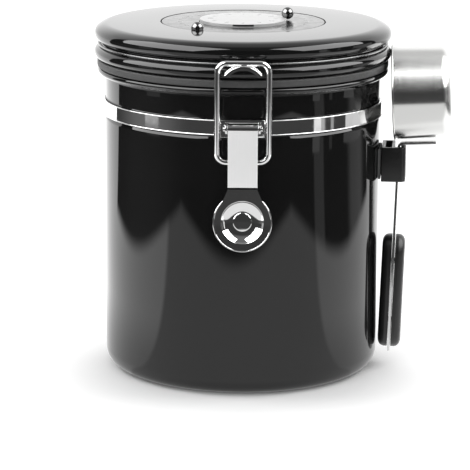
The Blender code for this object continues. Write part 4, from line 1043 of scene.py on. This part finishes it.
class CANISTER_OT_hook(bpy.types.Operator):
    """Make the lid's arched hook with its turned-up lip"""
    bl_idname = "canister.hook"
    bl_label = "Lid hook"

    def execute(self, context):
        hook = context.scene.canister_hook
        latch = context.scene.canister_latch
        lid = context.scene.canister_lid
        n = context.scene.canister_can.arc_steps
        radius = (hook.half_width ** 2 + hook.rise ** 2) / (2 * hook.rise)
        half = math.asin(hook.half_width / radius)
        lip_back = latch.head[1] - latch.wire - hook.play
        lip_front = lip_back - hook.lip_sheet
        back = -(lid.skirt_r + lid.skirt_radius + hook.gap)
        ridge = back - hook.lip_sheet
        bend = hook.lip_sheet / 2
        section = [
            (lip_front, -hook.sheet),
            *arc(lip_front + bend, hook.lip_height - bend, bend, 180, 0, n), (lip_back, 0), (ridge, 0),
            *arc(ridge + bend, hook.lip_height - bend, bend, 180, 0, n), (back, -hook.sheet),
        ]
        rings = []
        for i in range(hook.steps + 1):
            turn = half * (2 * i / hook.steps - 1)
            rings.append([((radius + h) * math.sin(turn), y,
                           hook.crown_z + (radius + h) * math.cos(turn) - radius)
                          for y, h in section])
        stand_in(plain(lofted("hook_saddle", rings), FINISHES["chrome"]), "lid", "lid_hook")
        root_back = -(lid.wire_r + lid.wire_radius + hook.gap)
        thick, long = hook.sheet / 2, abs(back - hook.sheet - root_back) / 2
        wide = hook.root_half_width
        root = plate("hook_root", [(-wide, -thick), (wide, -thick), (wide, thick), (-wide, thick)],
                     long, latch.edge, FINISHES["steel"],
                     Matrix.Translation((0, (back - hook.sheet + root_back) / 2, hook.crown_z))
                     @ Matrix.Rotation(math.pi / 2, 4, "X"))
        stand_in(root, "lid")
        return {"FINISHED"}


class CANISTER_OT_bracket(bpy.types.Operator):
    """Soften the latch's bracket and pin, and the hinge's leaves and pin"""
    bl_idname = "canister.bracket"
    bl_label = "Bracket and hinge"

    def execute(self, context):
        edge = context.scene.canister_latch.edge
        for node, name in (("latch_bracket", "chrome"), ("latch_pin", "steel"),
                           ("hinge_leaf_body", "steel"), ("hinge_leaf_lid", "steel"),
                           ("hinge_pin", "steel")):
            from_cad(node, edge, FINISHES[name])
        return {"FINISHED"}


def cup_pose(scoop):
    """Where the cup lies: its own Z runs from the mouth's middle out to its base."""
    return (Matrix.Rotation(scoop.azimuth, 4, "Z")
            @ Matrix.Translation((scoop.mouth_r, 0, scoop.centre_z))
            @ Matrix.Rotation(math.pi / 2 - scoop.cup_rise, 4, "Y"))


class CANISTER_OT_cup(bpy.types.Operator):
    """Turn the scoop's cup and lay it on its side, its mouth to the can"""
    bl_idname = "canister.cup"
    bl_label = "Scoop cup"

    def execute(self, context):
        scoop = context.scene.canister_scoop
        n = context.scene.canister_can.arc_steps
        end_r = scoop.radius - scoop.taper
        outside = [
            (0, scoop.depth),
            *arc(end_r - scoop.corner, scoop.depth - scoop.corner, scoop.corner, 90, 0, 2 * n),
            (scoop.radius, 2 * scoop.rim),
            *arc(scoop.radius, scoop.rim, scoop.rim, CUP_RIM_START, -90, n),
        ]
        cup = turned("cup_shell", outside, scoop.steps, FINISHES["brushed"], sheet=scoop.wall)
        stand_in(moved(cup, cup_pose(scoop)), "scoop", "scoop_cup")
        return {"FINISHED"}


class CANISTER_OT_handle(bpy.types.Operator):
    """Soften the scoop's handle and the clip that holds it, and copy its grips without softening"""
    bl_idname = "canister.handle"
    bl_label = "Handle and clip"

    def execute(self, context):
        edge = context.scene.canister_latch.edge
        from_cad("scoop_handle", edge, FINISHES["steel"])
        from_cad("scoop_clip", 2 * edge, FINISHES["plastic"])
        for node in ("grip_inner", "grip_outer"):
            from_cad(node, 0, FINISHES["plastic"])
        return {"FINISHED"}


# Studio

# Eases over the table, by the reach from the axis: start, stop and the value at each. They are the
# light added for the camera, weak near the can as a painted shadow round its foot; the share of the
# side sheets, and the table's glow near the foot, both lower near the can as painted shade that the
# can's gloss reflects
SHADOW_LIFT = (0.060, 0.100, 0.05, 0.36)
PAINTED_SIDE_SHADE = (0.07, 0.17, 0.3, 1.0)
PAINTED_FOOT_SHADE = (0.048, 0.068, 0.35, 1.0)
# How much nearer the added light comes towards the back, and the depth that this starts from
SHADOW_LEAN, SHADOW_DEPTH = 0.3, 0.06
# Half widths of the soft ends of the table's side sheets and of the dark front room
TABLE_SOFT, ROOM_SOFT = math.radians(2), math.radians(1)
# Degrees above the horizon between which the wall fades and the ceiling comes up
WALL_FADE = (22, 60)
CEILING_RISE = (28, 44)
# Share of the ceiling, to the front and to the back, over which its brightness changes
CEILING_HALF = 0.3
# Strips on the dark floor: start, stop and fade in degrees from the front, and added brightness
FLOOR_STRIPS = ((57.5, 68.5, 2, 0.40), (91, 117, 8, 0.42), (-121, -40, 35, 0.09))
# Cards: name, degrees from the front, distance, height of the middle, width, height, brightness,
# and the height that a leaning one faces
STUDIO_CARDS = (
    ("left_panel", -70, 0.78, 0.76, 1.42, 1.10, 5.5, 0.14),
    ("right_panel", 75, 0.78, 0.76, 1.18, 0.90, 5.5, 0.14),
    ("left_stand", -75.5, 0.55, 0.110, 0.13, 0.180, 0.45),
    ("right_stand", 60, 0.55, 0.106, 0.062, 0.188, 0.90),
    ("right_sheet", 74, 0.55, 0.106, 0.028, 0.188, 0.36),
    ("right_wing", 99.5, 0.55, 0.106, 0.22, 0.188, 0.68),
)


def blank(owner):
    """Give a material or a world an empty node tree."""
    owner.use_nodes = True
    owner.node_tree.nodes.clear()
    return owner.node_tree


def glowing(tree, kind, strength):
    """An Emission or Background shader of a strength."""
    return add(tree, kind, {"Strength": strength}).outputs[0]


def blend(tree, factor, first, second):
    """Mix two shaders."""
    return add(tree, "ShaderNodeMixShader", {0: factor, 1: first, 2: second}).outputs[0]


def compass(tree, kind):
    """Turn from the front, to the right positive, and the coordinates, of a place or direction."""
    x, y, z = coordinates(tree, kind)
    return x.apply("ARCTAN2", y * -1), x, y, z


def floor_material(studio):
    """A pale table, darkened round the can's foot by painted shadow. Gloss sees its brighter sides and
    back, and its front cut off by the dark room.
    """
    material = bpy.data.materials.new("pale_table")
    tree = blank(material)
    rays = add(tree, "ShaderNodeLightPath").outputs
    turn, x, y, z = compass(tree, "Object")
    reach = (x * x + y * y).apply("SQRT")
    leaning = reach + (y + SHADOW_DEPTH) * SHADOW_LEAN
    cloth = add(tree, "ShaderNodeBsdfDiffuse", {"Color": grey(studio.table_tone)}).outputs[0]
    # Painted shadow: the glow added for the camera is weak near the can, darkening the table round its
    # foot
    lift = glowing(tree, "ShaderNodeEmission", leaning.eased(*SHADOW_LIFT))
    lifted = add(tree, "ShaderNodeAddShader", {0: cloth, 1: lift}).outputs[0]
    seen = blend(tree, rays["Is Camera Ray"], cloth, lifted)

    side = studio.side_turn
    right = turn.eased(side - TABLE_SOFT, side + TABLE_SOFT, 0.0,
                       studio.right_glow - studio.middle_glow)
    left = turn.eased(-side - TABLE_SOFT, -side + TABLE_SOFT,
                      studio.left_glow - studio.middle_glow, 0.0)
    # Painted shade in reflections: the side sheets fade out near the can
    sides = (right + left) * reach.eased(*PAINTED_SIDE_SHADE)
    # Painted shadow in reflections: the table's glow falls near the can's foot
    glow = (sides + studio.middle_glow) * reach.eased(*PAINTED_FOOT_SHADE)
    lobes = abs(((turn + studio.lobe_turn) * (math.pi / studio.lobe_step)).apply("COSINE"))
    edge = (1 - lobes) * studio.sweep_scallop + studio.sweep_near
    past = (reach - edge).eased(-studio.sweep_soft, studio.sweep_soft)
    dark = past * abs(turn).below(studio.front_turn)
    room = studio.room_glow
    for start, stop, fade, extra in FLOOR_STRIPS:
        up = turn.eased(math.radians(start), math.radians(start + fade), 0.0, extra)
        down = turn.eased(math.radians(stop - fade), math.radians(stop), 0.0, -extra)
        room = up + down + room
    mirror = glowing(tree, "ShaderNodeEmission", dark * room + (1 - dark) * glow)
    add(tree, "ShaderNodeOutputMaterial", {0: blend(tree, rays["Is Glossy Ray"], seen, mirror)})
    return material


def elevation(degrees):
    """The height of a direction that is so many degrees above the horizon."""
    return math.sin(math.radians(degrees))


def world_light(studio):
    """White for the camera. Gloss sees a white wall behind, fading upwards, and a dark front room."""
    world = bpy.data.worlds.new("studio")
    bpy.context.scene.world = world
    tree = blank(world)
    rays = add(tree, "ShaderNodeLightPath").outputs
    turn, x, y, z = compass(tree, "Generated")
    behind = abs(turn).eased(studio.front_turn - ROOM_SOFT, studio.front_turn + ROOM_SOFT)
    wall = z.eased(*map(elevation, WALL_FADE), studio.wall_glow, 0.0)
    high = z.eased(*map(elevation, CEILING_RISE))
    ceiling = high * y.eased(-CEILING_HALF, CEILING_HALF, studio.top_glow, studio.back_glow)
    room = glowing(tree, "ShaderNodeBackground", ceiling + studio.room_glow + wall * behind)
    ambient = glowing(tree, "ShaderNodeBackground", studio.ambient_glow)
    white = add(tree, "ShaderNodeBackground", {"Color": (1, 1, 1, 1), "Strength": 1.0}).outputs[0]
    gloss = Term(rays["Is Glossy Ray"]).apply("MAXIMUM", rays["Is Transmission Ray"])
    light = blend(tree, gloss, ambient, room)
    add(tree, "ShaderNodeOutputWorld", {0: blend(tree, rays["Is Camera Ray"], light, white)})


def card(name, azimuth, distance, middle_z, width, height, glow, target_z=None):
    """A glowing card that only gloss sees, upright or leaning to face a height on the axis."""
    turn = math.radians(azimuth)
    place = Vector((distance * math.sin(turn), -distance * math.cos(turn), middle_z))
    target = Vector((0, 0, middle_z if target_z is None else target_z))
    material = bpy.data.materials.new(name)
    tree = blank(material)
    add(tree, "ShaderNodeOutputMaterial", {0: glowing(tree, "ShaderNodeEmission", glow)})
    thing = rectangle(name, width / 2, height / 2)
    thing.data.materials.append(material)
    thing.location = place
    thing.rotation_euler = (target - place).to_track_quat("Z", "Y").to_euler()
    thing.visible_camera = False
    thing.visible_diffuse = False
    thing.visible_shadow = False


def softbox(name, side, studio):
    """A square area lamp of a given brightness, at one side and aimed at the canister's middle."""
    across, depth, height = studio.softbox_place
    place = Vector((side * across, depth, height))
    lamp = bpy.data.lights.new(name, "AREA")
    lamp.shape = "RECTANGLE"
    lamp.size = lamp.size_y = studio.softbox_size
    lamp.energy = studio.softbox_glow * math.pi * studio.softbox_size ** 2
    thing = new_object(name, lamp)
    thing.location = place
    thing.rotation_euler = (Vector((0, 0, studio.aim_z)) - place).to_track_quat("-Z", "Y").to_euler()
    thing.visible_camera = False
    thing.visible_glossy = False


class CANISTER_OT_studio(bpy.types.Operator):
    """Lay the floor, hang the lamps and set the camera"""
    bl_idname = "canister.studio"
    bl_label = "Studio"

    def execute(self, context):
        studio = context.scene.canister_studio
        table = rectangle("table", studio.floor_half, studio.floor_half)
        table.data.materials.append(floor_material(studio))
        world_light(studio)
        softbox("left_softbox", -1, studio)
        softbox("right_softbox", 1, studio)
        for row in STUDIO_CARDS:
            card(*row)

        camera = bpy.data.cameras.new("camera")
        camera.lens = studio.lens
        camera.sensor_width = studio.sensor
        camera.clip_start, camera.clip_end = 0.01, 50
        thing = new_object("camera", camera)
        thing.matrix_world = (Matrix.Translation(studio.camera_place)
                              @ Matrix.Rotation(math.pi / 2 - studio.camera_pitch, 4, "X")
                              @ Matrix.Rotation(studio.camera_roll, 4, "Z"))
        context.scene.camera = thing
        context.scene.view_settings.view_transform = "Standard"
        return {"FINISHED"}


class CANISTER_PT_panel(bpy.types.Panel):
    """Buttons for the pieces, in the 3D view's sidebar"""
    bl_idname = "CANISTER_PT_panel"
    bl_label = "Coffee canister"
    bl_space_type = "VIEW_3D"
    bl_region_type = "UI"
    bl_category = "Canister"

    def draw(self, context):
        column = self.layout.column()
        for piece in PIECES:
            column.operator(piece.bl_idname)


PIECES = (
    CANISTER_OT_can, CANISTER_OT_band, CANISTER_OT_lid, CANISTER_OT_seal, CANISTER_OT_dial,
    CANISTER_OT_lever, CANISTER_OT_loop, CANISTER_OT_hook, CANISTER_OT_bracket, CANISTER_OT_cup,
    CANISTER_OT_handle, CANISTER_OT_studio,
)


def register():
    for group in GROUPS.values():
        bpy.utils.register_class(group)
    for name, group in GROUPS.items():
        setattr(bpy.types.Scene, name, PointerProperty(type=group))
    for piece in PIECES:
        bpy.utils.register_class(piece)
    bpy.utils.register_class(CANISTER_PT_panel)


def unregister():
    bpy.utils.unregister_class(CANISTER_PT_panel)
    for piece in reversed(PIECES):
        bpy.utils.unregister_class(piece)
    for name, group in GROUPS.items():
        delattr(bpy.types.Scene, name)
        bpy.utils.unregister_class(group)


def main():
    register()
    make_trees_and_finishes(bpy.context.scene)
    for piece in PIECES:
        area, name = piece.bl_idname.split(".")
        getattr(getattr(bpy.ops, area), name)()


if __name__ == "__main__":
    main()
